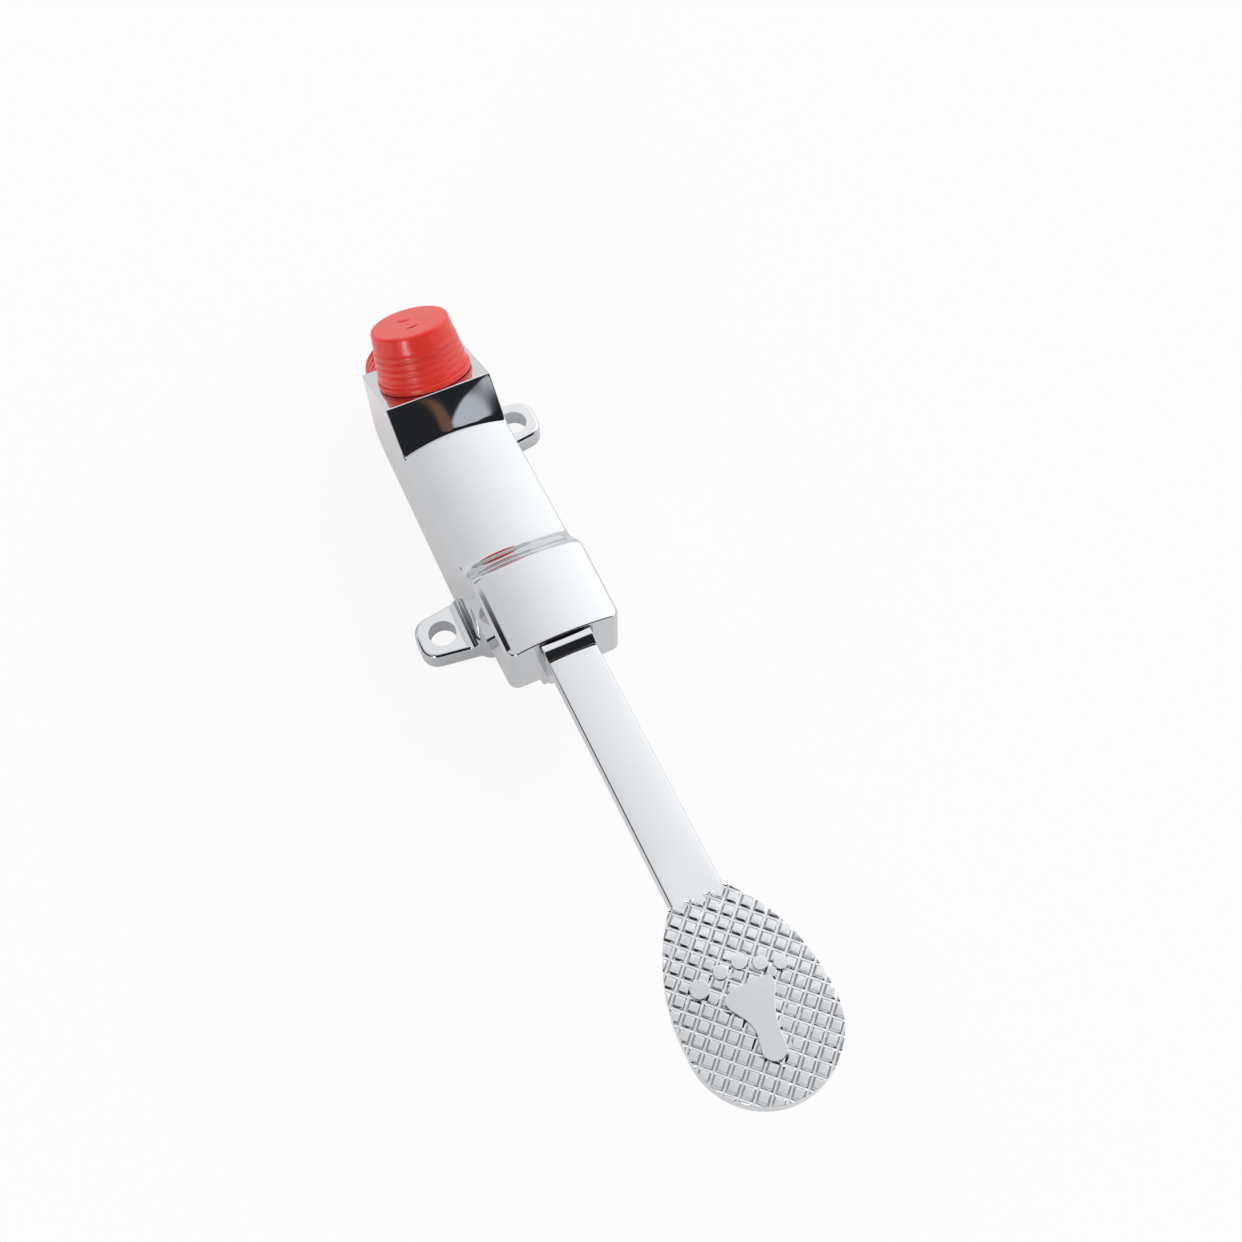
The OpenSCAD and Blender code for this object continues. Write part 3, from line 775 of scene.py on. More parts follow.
    def port_rows(self, x: float) -> list[Spot]:
        """Gives the port block's part of a column.

        Args:
            x: the column's place across the body.

        Returns:
            Points (y, z) from the rear edge over the ridge.
        """
        block = quarter_drop(self.half_w - abs(x), self.block_edge_r)
        backs = [self.rear_corner_r * (1 - math.sin(math.radians(a))) for a in (66, 54, 42, 30, 15, 0)]
        insides = [self.block_edge_r * k for k in (0, 0.05, 0.2, 0.5, 1)] + backs
        rows = []
        for inside in sorted(insides):
            y = self.rear_y - inside
            rows.append((y, self.port_z(y) - quarter_drop(inside, self.block_edge_r)))
        back, ahead = self.ridge_y + self.ridge_ease, self.ridge_y - self.ridge_ease
        first, last = (back, self.port_z(back)), (ahead, self.slope_z(x, ahead))
        rows += bend(first, (self.ridge_y, self.ridge_z), last, 7)
        return [(y, z - block) for y, z in rows]

    def middle_rows(self, x: float) -> list[Spot]:
        """Gives the slope, the crown and the hollow strip of a column.

        Args:
            x: the column's place across the body.

        Returns:
            Points (y, z) from the slope's top to the eased edge of the housing.
        """
        block = quarter_drop(self.half_w - abs(x), self.block_edge_r)
        tilts = math.tan(math.radians(self.front_slope)) + math.tan(math.radians(self.crown_tilt))
        foot_y = self.crown_y - (self.crown_drop(x) - block - x * x / 2 / self.slope_crown_r) / tilts
        high, low = foot_y + self.foot_ease, foot_y - self.foot_ease
        top_y = self.ridge_y - self.ridge_ease
        rows = [(y, self.slope_z(x, y) - block) for y in spread(top_y, high, 11)]
        rows += bend(
            (high, self.slope_z(x, high) - block),
            (foot_y, self.crown_z(x, foot_y)),
            (low, self.crown_z(x, low)),
            5,
        )
        rows += [(y, self.crown_z(x, y)) for y in spread(low, self.strip_y, 4)]
        top = self.top_z - self.housing_drop(x, self.step_y)
        foot = self.crown_z(x, self.strip_y)
        lift, climb = (math.tan(math.radians(a)) for a in (self.crown_tilt, self.strip_slope))
        turn_y = (foot - top + self.strip_y * lift - self.step_y * climb) / (lift - climb)
        turn = (turn_y, foot + (self.strip_y - turn_y) * lift)
        strip = bend((self.strip_y, foot), turn, (self.step_y, top), 16)
        ease = bend(strip[-4], strip[-1], (self.step_y - self.step_ease, top), 6)
        return rows + strip[:-4] + ease

    def housing_rows(self, x: float) -> list[Spot]:
        """Gives the housing's part of a column.

        Args:
            x: the column's place across the body.

        Returns:
            Points (y, z) from the step to the front edge.
        """
        begin = self.step_y - self.step_ease
        centre_y = self.front_y + self.corner_r
        fronts = [self.corner_r * (1 - math.sin(math.radians(a))) for a in range(0, 85, 7)]
        edges = [self.front_edge_r * k for k in (0.6, 0.3, 0.1, 0.02, 0)]
        places = spread(begin, centre_y, 4)
        places += [self.front_y + inside for inside in sorted(fronts + edges, reverse=True)]
        return [(y, self.top_z - self.housing_drop(self.drawn_in(x, y), y)) for y in places]

    def hull(self) -> bpy.types.Object:
        """Builds the closed outer form, without ears, slot and bores.

        Returns:
            The form, from a grid whose rows follow the body's features.
        """
        across = self.columns()
        lines = [self.port_rows(x) + self.middle_rows(x) + self.housing_rows(x) for x in across]
        rows = len(lines[0])
        points = []
        for row in range(rows):
            for x, line in zip(across, lines):
                y, z = line[row]
                points.append((self.drawn_in(x, y), y, z))
        hull = start(
            bpy.ops.mesh.primitive_grid_add,
            "chromed_body",
            x_subdivisions=len(across) - 1,
            y_subdivisions=rows - 1,
            size=1,
        )
        set_points(hull, points)
        with editing(hull, "FACE"):
            bpy.ops.mesh.select_all(action="SELECT")
            bpy.ops.mesh.extrude_region_move(TRANSFORM_OT_translate={"value": (0, 0, -1)})
        for vertex in hull.data.vertices:
            if vertex.select:
                vertex.co.z = quarter_drop(self.rear_y - vertex.co.y / MM, self.rear_corner_r) * MM
        with editing(hull, "FACE"):
            bpy.ops.mesh.select_all(action="SELECT")
            bpy.ops.mesh.normals_make_consistent(inside=False)
        return hull

    def base_corner(self, side: int) -> bpy.types.Object:
        """Makes the tool that rounds one upright front corner of the base.

        Args:
            side: -1 for the left corner, 1 for the right one.

        Returns:
            The cutting solid, from under the base up to the housing.
        """
        edge, front, radius = self.half_w, self.base_front, self.base_corner_r
        outline = [(edge - radius, front - self.over), (edge + self.over, front - self.over)]
        outline += [(edge + self.over, front + radius)]
        outline += arc((edge - radius, front + radius), radius, 0, -90, 12)
        corners = [(side * x, y, -self.over) for x, y in outline]
        return extruded("base_corner", corners, (0, 0, self.under_z + self.over))

    def ear(self, turn: float) -> bpy.types.Object:
        """Builds one floor ear.

        Args:
            turn: 0 for the right rear ear, 180 for the left front one.

        Returns:
            The ear, with its top edge round and a hollow along its root.
        """
        end_x = self.hole_x + self.hole_r + self.ear_rim
        bend_x = end_x - self.ear_corner_r
        root_x = self.half_w - 2 * self.over
        half_end = self.ear_end_w / 2 - self.ear_corner_r
        outline = [(root_x, self.hole_y - self.ear_root_w / 2)]
        outline += arc((bend_x, self.hole_y - half_end), self.ear_corner_r, -82, 0, 8)
        outline += arc((bend_x, self.hole_y + half_end), self.ear_corner_r, 0, 82, 8)
        outline += [(root_x, self.hole_y + self.ear_root_w / 2)]
        ear = extruded("ear", [(x, y, 0) for x, y in outline], (0, 0, self.ear_t))
        round_edges(
            ear,
            self.ear_edge_r,
            4,
            lambda a, b: min(a.z, b.z) > self.ear_t / 2 and max(a.x, b.x) > root_x + self.over,
        )
        combine(ear, self.ear_hollow(outline), Join.FUSE)
        hole_at = Matrix.Translation(Vector((self.hole_x, self.hole_y, -self.ear_t)) * MM)
        combine(ear, rod("hole", self.hole_r, 3 * self.ear_t, hole_at), Join.CUT)
        ear.data.transform(Matrix.Rotation(math.radians(turn), 4, "Z"))
        return ear

    def ear_hollow(self, outline: Sequence[Spot]) -> bpy.types.Object:
        """Builds the hollow rounding between an ear's top and the body's side.

        Args:
            outline: the ear's outline (x, y), which bounds it.

        Returns:
            The rounding as a solid.
        """
        back = self.half_w - 3 * self.over
        inner = self.half_w + self.ear_hollow_r
        tall = self.ear_t + self.ear_hollow_r
        section = [(back, self.ear_t - self.over), (inner, self.ear_t - self.over)]
        section += arc((inner, tall), self.ear_hollow_r, 270, 180, 10)
        section += [(self.half_w, tall + self.over), (back, tall + self.over)]
        begin = self.hole_y - self.ear_root_w
        hollow = extruded("hollow", [(x, y, 0) for x, y in outline], (0, 0, tall))
        bar = extruded("bar", [(x, begin, z) for x, z in section], (0, 2 * self.ear_root_w, 0))
        combine(hollow, bar, Join.KEEP)
        return hollow

    def cutters(self) -> list[bpy.types.Object]:
        """Makes the tools that cut the space under the housing, the slot and the bores.

        Returns:
            The cutting solids.
        """
        far = 3 * self.half_w
        ahead = self.front_y - 5 * self.over
        rise = (self.housing_bottom - self.under_z) / (self.under_y - self.front_y)
        under = side_prism(
            "under_housing",
            [
                (ahead, -self.over),
                (self.base_front, -self.over),
                (self.base_front, self.under_z),
                (self.under_y, self.under_z),
                (ahead, self.under_z + rise * (self.under_y - ahead)),
            ],
            far,
        )
        slot = side_prism(
            "lever_slot",
            [
                (ahead, -self.over),
                (self.slot_back, -self.over),
                (self.slot_back, self.top_z - self.lip_t),
                (ahead, self.top_z - self.lip_t),
            ],
            self.slot_w,
        )
        pin_l = self.half_w + self.plug_x
        tools = [under, slot]
        tools.append(rod("pin_bore", self.pin_r, pin_l, along_x(-self.plug_x, PIN_Y, PIN_Z)))
        tools.append(rod("plug_bore", self.plug_r, far, along_x(self.plug_x, PIN_Y, PIN_Z)))
        for radius, begin, end in self.axis_bores:
            tools.append(rod("axis_bore", radius, end - begin, along_y(0, begin, AXIS_Z)))
        for radius, depth, reach in self.port_bores:
            place = port_frame() @ Matrix.Translation((0, 0, -depth * MM))
            tools.append(rod("outlet_bore", radius, depth + reach, place))
        return tools


@dataclass
class Pedal:
    """Lever with hub, root, heel, arm and the waffled tread plate."""

    mouth_z: float = 45.7
    front_y: float = -61.6
    rise: float = 2.5
    hub_w: float = 13.2
    bore_r: float = 4.06
    ramp_lead: float = 1.9
    ramp_l: float = 2.3
    ramp_drop: float = 1.4
    root_depth: float = 14.8
    root_lead: float = 0.4
    root_r: float = 5
    heel_r: float = 3.5
    heel_w: float = 9
    arm_w: float = 12.4
    arm_t: float = 5
    arm_l: float = 69.6
    plate_l: float = 46.6
    plate_w: float = 33.2
    plate_side_r: float = 41.6
    plate_wide: float = 3
    plate_t: float = 4.2
    edge_r: float = 0.6
    groove_pitch: float = 3.15
    groove_w: float = 1.25
    groove_depth: float = 0.45
    groove_start: float = -1
    groove_fade: float = 2.5
    groove_count: int = 24
    # Half of a groove's profile, in half widths and depths
    groove_flank: tuple[Spot, ...] = (
        (1.5, 0.4), (1.2, 0.05), (0.95, -0.1), (0.35, -0.8), (0.2, -0.85),
    )
    arm_crown_r: float = 80
    arm_flat: float = 14
    arm_back: float = -2
    arm_into: float = 0.3
    arm_under: float = 0.02
    ramp_step: float = 0.35
    print_h: float = 0.6
    print_y: float = 21.3
    print_root: float = 0.5
    print_edge_r: float = 0.18
    # Place across, place towards the hinge and radius of each toe
    toes: tuple[Place, ...] = (
        (-8.6, 2.8, 2.1), (-3.1, 4.2, 1.6), (1.4, 4.6, 1.7), (5.2, 2.6, 1.6), (9.2, 0.9, 1.6),
    )

    def __post_init__(self) -> None:
        """Works out the lever's frame."""
        slope = math.radians(self.rise)
        mouth = Matrix.Translation(Vector((0, self.front_y, self.mouth_z)) * MM)
        self.place: Matrix = mouth @ Matrix.Rotation(-slope, 4, "X")
        ahead, height = PIN_Y - self.front_y, self.mouth_z - PIN_Z
        self.hub_r: float = height * math.cos(slope) - ahead * math.sin(slope)
        self.pin_back: float = ahead * math.cos(slope) + height * math.sin(slope)

    def build(self) -> bpy.types.Object:
        """Builds the lever and dresses it.

        Returns:
            The chromed lever.
        """
        lever = self.plate()
        for part in (self.arm(), self.root(), *self.footprint()):
            combine(lever, part, Join.FUSE)
        lever.data.transform(self.place)
        combine(lever, self.heel(), Join.FUSE)
        hub = rod("hub", self.hub_r, self.hub_w, along_x(-self.hub_w / 2, PIN_Y, PIN_Z))
        combine(lever, hub, Join.FUSE)
        bore = rod("hub_bore", self.bore_r, 2 * self.hub_w, along_x(-self.hub_w, PIN_Y, PIN_Z))
        combine(lever, bore, Join.CUT)
        polish(lever, 28)
        return settle(lever, CHROME, "pedal", "pedal_lever")

    def plate(self) -> bpy.types.Object:
        """Builds the egg-shaped tread plate with its crossed grooves.

        Returns:
            The plate, with its top where the arm's is.
        """
        half = self.plate_w / 2
        tip_y = half - self.arm_l - self.plate_l
        wide_y = tip_y + self.plate_wide
        centre = self.plate_side_r - half
        reach = math.degrees(math.asin((-self.arm_l - wide_y) / self.plate_side_r))
        left = arc((centre, wide_y), self.plate_side_r, 180 - reach, 180, 20)
        tip = arc((0, tip_y), half, 180, 360, 36)
        right = arc((-centre, wide_y), self.plate_side_r, 0, reach, 20)
        corners = [(x, y, -self.ramp_drop) for x, y in left + tip + right]
        plate = extruded("chromed_pedal", corners, (0, 0, -self.plate_t))
        ahead = -self.arm_l - MERGE
        round_edges(plate, self.edge_r, 3, lambda a, b: abs(a.z - b.z) < MERGE and a.y < ahead)
        for turn, cuts, slip in ((45, 60, (0, 0)), (-45, 53, (0.27, 0.02))):
            combine(plate, self.grooves(turn, cuts, slip), Join.CUT)
        return plate

    def grooves(self, turn: float, cuts: int, slip: Spot) -> bpy.types.Object:
        """Makes one family of parallel grooves as a cutter.

        Args:
            turn: direction of the grooves in degrees from the arm's line.
            cuts: number of cuts along each groove.
            slip: shift along the grooves and downwards that keeps the two families' faces apart.

        Returns:
            The cutter, which runs out where the arm begins.
        """
        length = 2 * self.plate_l
        half = self.groove_w / 2
        shape = [*self.groove_flank, *((-x, z) for x, z in reversed(self.groove_flank))]
        corners = [(half * x, -length / 2, self.groove_depth * z) for x, z in shape]
        tool = extruded("grooves", corners, (0, length, 0))
        cut_lengthwise(tool, cuts)
        apply_modifier(
            tool,
            "ARRAY",
            count=self.groove_count,
            use_relative_offset=False,
            use_constant_offset=True,
            constant_offset_displace=(self.groove_pitch * MM, 0, 0),
        )
        middle = Vector((-self.groove_pitch * (self.groove_count - 1) / 2, slip[0], 0)) * MM
        centre = Vector((0, -self.arm_l - self.plate_l / 2, -self.ramp_drop - slip[1])) * MM
        turned_to = Matrix.Rotation(math.radians(turn), 4, "Z")
        tool.data.transform(Matrix.Translation(centre) @ turned_to @ Matrix.Translation(middle))
        begin = -self.arm_l - self.groove_start
        for vertex in tool.data.vertices:
            share = min(max(1 + (vertex.co.y / MM - begin) / self.groove_fade, 0.0), 2.0)
            vertex.co.z += 1.2 * self.groove_depth * share * MM
        return tool

    def arm(self) -> bpy.types.Object:
        """Builds the straight arm, with its long edges round.

        Returns:
            The arm, crowned across and flat where it meets the plate.
        """
        half, radius = self.arm_w / 2, self.edge_r
        low, high = -self.ramp_drop - self.arm_t, -self.ramp_drop
        flat = half - radius
        crown = [flat * k for k in (0.75, 0.5, 0.25, 0, -0.25, -0.5, -0.75)]
        drop = flat**2 / 2 / self.arm_crown_r
        outline = arc((flat, high - radius - drop), radius, 0, 82, 4)
        outline += [(x, high - x * x / 2 / self.arm_crown_r) for x in crown]
        outline += arc((-flat, high - radius - drop), radius, 98, 180, 4)
        outline += arc((radius - half, low + radius), radius, 180, 270, 4)
        outline += arc((half - radius, low + radius), radius, 270, 360, 4)
        length = self.arm_l + self.arm_into + self.arm_back
        arm = extruded("arm", [(x, self.arm_back, z) for x, z in outline], (0, -length, 0))
        cut_lengthwise(arm, 35)
        for vertex in arm.data.vertices:
            x, y, z = vertex.co / MM
            share = min(max((self.arm_flat - self.arm_l - y) / self.arm_flat, 0.0), 1.0)
            if z > high - drop - radius - MERGE:
                lift = share * share * (3 - 2 * share) * min(x * x / 2 / self.arm_crown_r, drop)
                vertex.co.z += (lift - self.arm_under) * MM
        return arm

    def root(self) -> bpy.types.Object:
        """Builds the deep root with the ramp that leads down to the arm.

        Returns:
            The root, with its edges round up to the hub.
        """
        foot = self.ramp_lead + self.ramp_l
        front = foot + self.root_lead
        edge = self.ramp_step - self.ramp_drop
        outline = [(self.pin_back, 0)]
        lead = -self.ramp_lead
        outline += bend((lead + 0.2, 0), (lead, 0), (lead - 0.2, edge * 0.07), 3)
        outline += bend((0.35 - foot, edge * 0.88), (-foot, edge), (-foot - 0.05, edge - 0.25), 4)
        outline += [(-foot - 0.05, -self.ramp_drop - 0.1), (-front, -self.ramp_drop - 0.4)]
        outline += arc((self.root_r - front, self.root_r - self.root_depth), self.root_r, 180, 270, 10)
        outline += [(self.pin_back, -self.root_depth)]
        root = side_prism("root", outline, self.arm_w)
        ahead = self.pin_back - MERGE
        small = self.edge_r / 2
        round_edges(root, small, 2, lambda a, b: abs(a.x - b.x) < MERGE and max(a.y, b.y) < ahead)
        return root

    def heel(self) -> bpy.types.Object:
        """Builds the heel that pushes the plunger.

        Returns:
            The heel, from the hinge pin down to the plunger.
        """
        outline = [(PIN_Y + self.heel_r, PIN_Z), (PIN_Y - self.heel_r, PIN_Z)]
        outline += arc((PIN_Y, AXIS_Z), self.heel_r, 180, 360, 16)
        heel = side_prism("heel", outline, self.heel_w)
        small, below = self.edge_r / 2, PIN_Z - MERGE
        round_edges(heel, small, 2, lambda a, b: abs(a.x - b.x) < MERGE and min(a.z, b.z) < below)
        return heel

    def footprint(self) -> list[bpy.types.Object]:
        """Builds the raised footprint: sole and five toes, towards the hinge.

        Returns:
            The six raised pads.
        """
        line = -self.arm_l - self.print_y
        sunk = self.groove_depth + self.print_root
        base, top = -self.ramp_drop - sunk, self.print_h - self.ramp_drop
        sole = bend((-5.3, -2.2), (-5, -0.5), (-2, -0.05), 4)
        sole += bend((4.8, -0.1), (6.3, -0.2), (6.2, -1.6), 4)
        sole += bend((5.6, -3.6), (2.6, -8.4), (2.5, -12.4), 6)
        sole += arc((-0.3, -14.3), 2.7, 10, -190, 14)
        sole += bend((-2.6, -12), (-1.4, -9.4), (-3.4, -6), 6)
        sole += bend((-4.2, -4.8), (-5, -3.6), (-5.2, -2.4), 2)[:-1]
        pads = []
        for outline in [arc((x, y), radius, 0, 345, 23) for x, y, radius in self.toes] + [sole]:
            corners = [(x, line + y, base) for x, y in outline]
            pad = extruded("pad", corners, (0, 0, sunk + self.print_h))
            round_edges(pad, self.print_edge_r, 2, lambda a, b: min(a.z, b.z) > top - 0.01)
            pads.append(pad)
        return pads


@dataclass
class ThreadCap:
    """Push-on thread protector with a flange and faint thread rings."""

    name: str
    node: str
    height: float
    end_r: float
    thread_l: float
    place: Matrix
    base_r: float = 12.1
    flange_r: float = 12.6
    flange_t: float = 1.65
    foot: float = 0.15
    bore_r: float = 10.63
    shoulder: float = 1
    end_t: float = 1
    gasket_t: float = GASKET_T
    pitch: float = THREAD_PITCH
    ring_h: float = 0.2
    edge_r: float = 0.8
    gate_at: Spot = (-0.6, 3.1)
    gate_r: float = 1.7
    gate_h: float = 0.2
    slit_ends: tuple[Spot, Spot] = ((-2, -4.3), (1.95, -3.75))
    slit_bows: tuple[Spot, Spot] = ((0.1, -4.85), (-0.15, -3.2))
    pit_at: Spot = (-0.6, -1.3)
    pit_r: float = 0.3
    steps: int = 96

    def build(self) -> bpy.types.Object:
        """Builds the cap and dresses it.

        Returns:
            The red cap.
        """
        cap = turned(self.name, self.profile(), self.steps)
        self.mark_end(cap)
        cap.data.transform(self.place)
        smooth(cap, 40)
        return settle(cap, RED_CAP, self.node, self.node)

    def wall_r(self, z: float) -> float:
        """Gives the outer radius of the tapered wall.

        Args:
            z: height over the port's face.

        Returns:
            The radius, with the rings that the thread inside presses out.
        """
        low = self.foot + self.flange_t
        share = (z - low) / (self.height - low)
        ring_top = self.gasket_t + self.thread_l + self.pitch / 2
        ring = 0.5 - 0.5 * math.cos(math.tau * (z - low) / self.pitch) if low < z < ring_top else 0.0
        return self.base_r + (self.end_r - self.base_r) * share + self.ring_h * ring

    def profile(self) -> list[Spot]:
        """Gives the cap's closed profile.

        Returns:
            Points (r, z), from the bore's foot round the outside.
        """
        low = self.foot + self.flange_t
        stop = self.gasket_t + self.thread_l + 0.05
        lip = self.flange_r
        walls = [low + (self.height - self.edge_r - low) * i / 60 for i in range(61)]
        points = [(self.bore_r, self.foot), (lip - 0.3, self.foot)]
        points += bend((lip - 0.2, self.foot), (lip, self.foot), (lip, self.foot + 0.3), 3)
        points += bend((lip, low - 0.5), (lip, low), (lip - 0.35, low), 3)
        points += [(self.wall_r(z), z) for z in walls]
        edge = self.height - self.edge_r
        rim, last = (self.end_r, self.height), (self.end_r - self.edge_r, self.height)
        points += bend((self.wall_r(edge), edge), rim, last, 6)[1:]
        points += [(r, self.height) for r in (8.5, 6, 3)]
        inner_r, under = self.bore_r - self.shoulder, self.height - self.end_t
        points += [(0, self.height), (0, under), (inner_r, under), (inner_r, stop)]
        return points + [(self.bore_r, stop)]

    def mark_end(self, cap: bpy.types.Object) -> None:
        """Adds the gate mark, the vent slit and a small pit to the cap's end.

        Args:
            cap: the turned cap, still along z.
        """
        end, rim = self.height, self.gate_r
        low, high = end - 0.4, end + self.gate_h
        profile = [(0, low), (rim, low), (rim, end + 0.05), (rim - 0.2, high), (0, high)]
        gate = turned("gate", profile, 40)
        gate.data.transform(Matrix.Translation(Vector((*self.gate_at, 0)) * MM))
        combine(cap, gate, Join.FUSE)
        (first, last), (outer, inner) = self.slit_ends, self.slit_bows
        lens = bend(first, outer, last, 8) + bend(last, inner, first, 8)[1:-1]
        slit = extruded("slit", [(x, y, end - 1.3) for x, y in lens], (0, 0, 2))
        combine(cap, slit, Join.CUT)
        pit = Matrix.Translation(Vector((*self.pit_at, end - self.pit_r)) * MM)
        combine(cap, rod("pit", self.pit_r, 1, pit, 16), Join.CUT)


@dataclass
class Nipple:
    """Threaded brass stub with a helical pipe thread."""

    name: str
    node: str
    thread_l: float
    spigot_r: float
    spigot_l: float
    bore_r: float
    place: Matrix
    mouth_r: float = 0
    mouth_l: float = 0
    room_r: float = 0
    room_l: float = 0
    thread_r: float = 10.478
    thread_h: float = 1.16
    pitch: float = THREAD_PITCH
    gasket_t: float = GASKET_T
    fade_least: float = 0.35
    fade_lead: float = 0.4
    end_depth: float = 0.9
    steps: int = 72
    slices: int = 12

    def build(self) -> bpy.types.Object:
        """Builds the stub, cuts its thread and dresses it.

        Returns:
            The brass stub.
        """
        stub = turned(self.name, self.profile(), self.steps)
        self.thread(stub)
        stub.data.transform(self.place)
        smooth(stub, 35)
        return settle(stub, BRASS, "body", self.node)

    def profile(self) -> list[Spot]:
        """Gives the stub's closed profile.

        Returns:
            Points (r, z), with the thread's length finely sliced.
        """
        top, low = self.gasket_t + self.thread_l, -self.spigot_l
        count = round(self.thread_l / self.pitch * self.slices)
        inner_r = self.room_r or self.bore_r
        points = [(inner_r, low), (self.spigot_r, low), (self.spigot_r, self.gasket_t)]
        points += [(self.thread_r, self.gasket_t + self.thread_l * i / count) for i in range(count + 1)]
        if self.mouth_r:
            step = top - self.mouth_l
            points += [(self.mouth_r, top), (self.mouth_r, step), (self.bore_r, step)]
        else:
            points += [(self.bore_r + 0.5, top), (self.bore_r, top - 0.5)]
        if self.room_r:
            room_end = self.room_l - self.spigot_l
            points += [(self.bore_r, room_end), (self.room_r, room_end)]
        return points

    def thread(self, stub: bpy.types.Object) -> None:
        """Sinks the helical groove into the stub's outside.

        Args:
            stub: the turned stub, still along z.
        """
        top = self.gasket_t + self.thread_l
        for vertex in stub.data.vertices:
            x, y, z = vertex.co / MM
            radius = math.hypot(x, y)
            if radius < self.thread_r - 0.01:
                continue
            phase = (z / self.pitch - math.atan2(y, x) / math.tau) % 1
            depth = self.thread_h * (1 - abs(2 * phase - 1))
            fade = min(1.0, max(self.fade_least, (top - z) / self.pitch))
            depth = max(depth * min(1.0, fade + self.fade_lead), self.end_depth * (1 - fade))
            scale = (self.thread_r - depth) / radius
            vertex.co.x *= scale
            vertex.co.y *= scale


@dataclass
class ReturnSpring:
    """Coil that closes the valve and lifts the pedal."""

    coil_r: float = 5
    wire_r: float = 0.45
    turns: int = 5
    begin_y: float = 37.6
    end_y: float = 48
    axis_z: float = AXIS_Z
    anchor_y: float = 48.5
    keep: float = 0.54
    steps: int = 40

    def build(self) -> bpy.types.Object:
        """Winds the spring and dresses it.

        Returns:
            The steel spring.
        """
        spring = start(
            bpy.ops.mesh.primitive_circle_add, "coiled_spring", vertices=12, radius=self.wire_r * MM,
            rotation=(math.radians(90), 0, 0), location=(self.coil_r * MM, 0, 0),
        )
        bpy.ops.object.transform_apply(location=True, rotation=True, scale=True)
        apply_modifier(
            spring,
            "SCREW",
            axis="Z",
            angle=math.tau,
            screw_offset=(self.end_y - self.begin_y) / self.turns * MM,
            iterations=self.turns,
            steps=self.steps,
            render_steps=self.steps,
        )
        with editing(spring, "EDGE"):
            bpy.ops.mesh.select_all(action="SELECT")
            bpy.ops.mesh.region_to_loop()
            bpy.ops.mesh.fill_holes(sides=0)
            bpy.ops.mesh.select_all(action="SELECT")
            bpy.ops.mesh.fill_holes(sides=0)
            bpy.ops.mesh.normals_make_consistent(inside=False)
        spring.data.transform(along_y(0, self.begin_y, self.axis_z))
        smooth(spring, 50)
        settle(spring, STEEL, "body", "return_spring")
        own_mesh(spring)
        return spring


@dataclass
class ValveTrain:
    """Small turned and moulded pieces between pedal and inlet."""

    edge_r: float = 0.2

    def build(self) -> None:
        """Eases the pieces that show and dresses the rest as they are."""
        eased = (
            ("pin_plug", CHROME, "body"),
            ("gland_nut", BRASS, "body"),
            ("plunger_rod", STEEL, "plunger"),
            ("thrust_cap", ACETAL, "plunger"),
        )
        for node, finish, body in eased:
            settle(eased_copy(node, self.edge_r), finish, body, node)
        plain = {
            STEEL: ("hinge_pin", "spring_retainer", "inlet_strainer"),
            ACETAL: ("pivot_bushes", "gland_bush"),
            FIBRE: ("gland_washer", "inlet_gasket", "outlet_gasket"),
            RUBBER: ("plunger_seals", "seat_seal", "valve_disc"),
            BRASS: ("valve_seat", "disc_holder", "disc_nut"),
        }
        for finish, nodes in plain.items():
            for node in nodes:
                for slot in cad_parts[node].material_slots:
                    slot.material = finish.material()
                log.info("%s keeps its solid in %s", node, finish.name)


# Directions in the room, as the pedal's user sees them
LEFT, RIGHT = (-1, 0, 0), (1, 0, 0)
NEAR, FAR = (0, -1, 0), (0, 1, 0)
UP, DOWN = (0, 0, 1), (0, 0, -1)


@dataclass(frozen=True)
class Zone:
    """Soft-edged patch of the room, seen only as a reflection.

    Each edge is a direction and a limit: the patch lies where the line of sight goes further that way.
    """

    edges: tuple[tuple[Place, float], ...]
    colour: str
    level: float = 1
    soft: float = 0.05


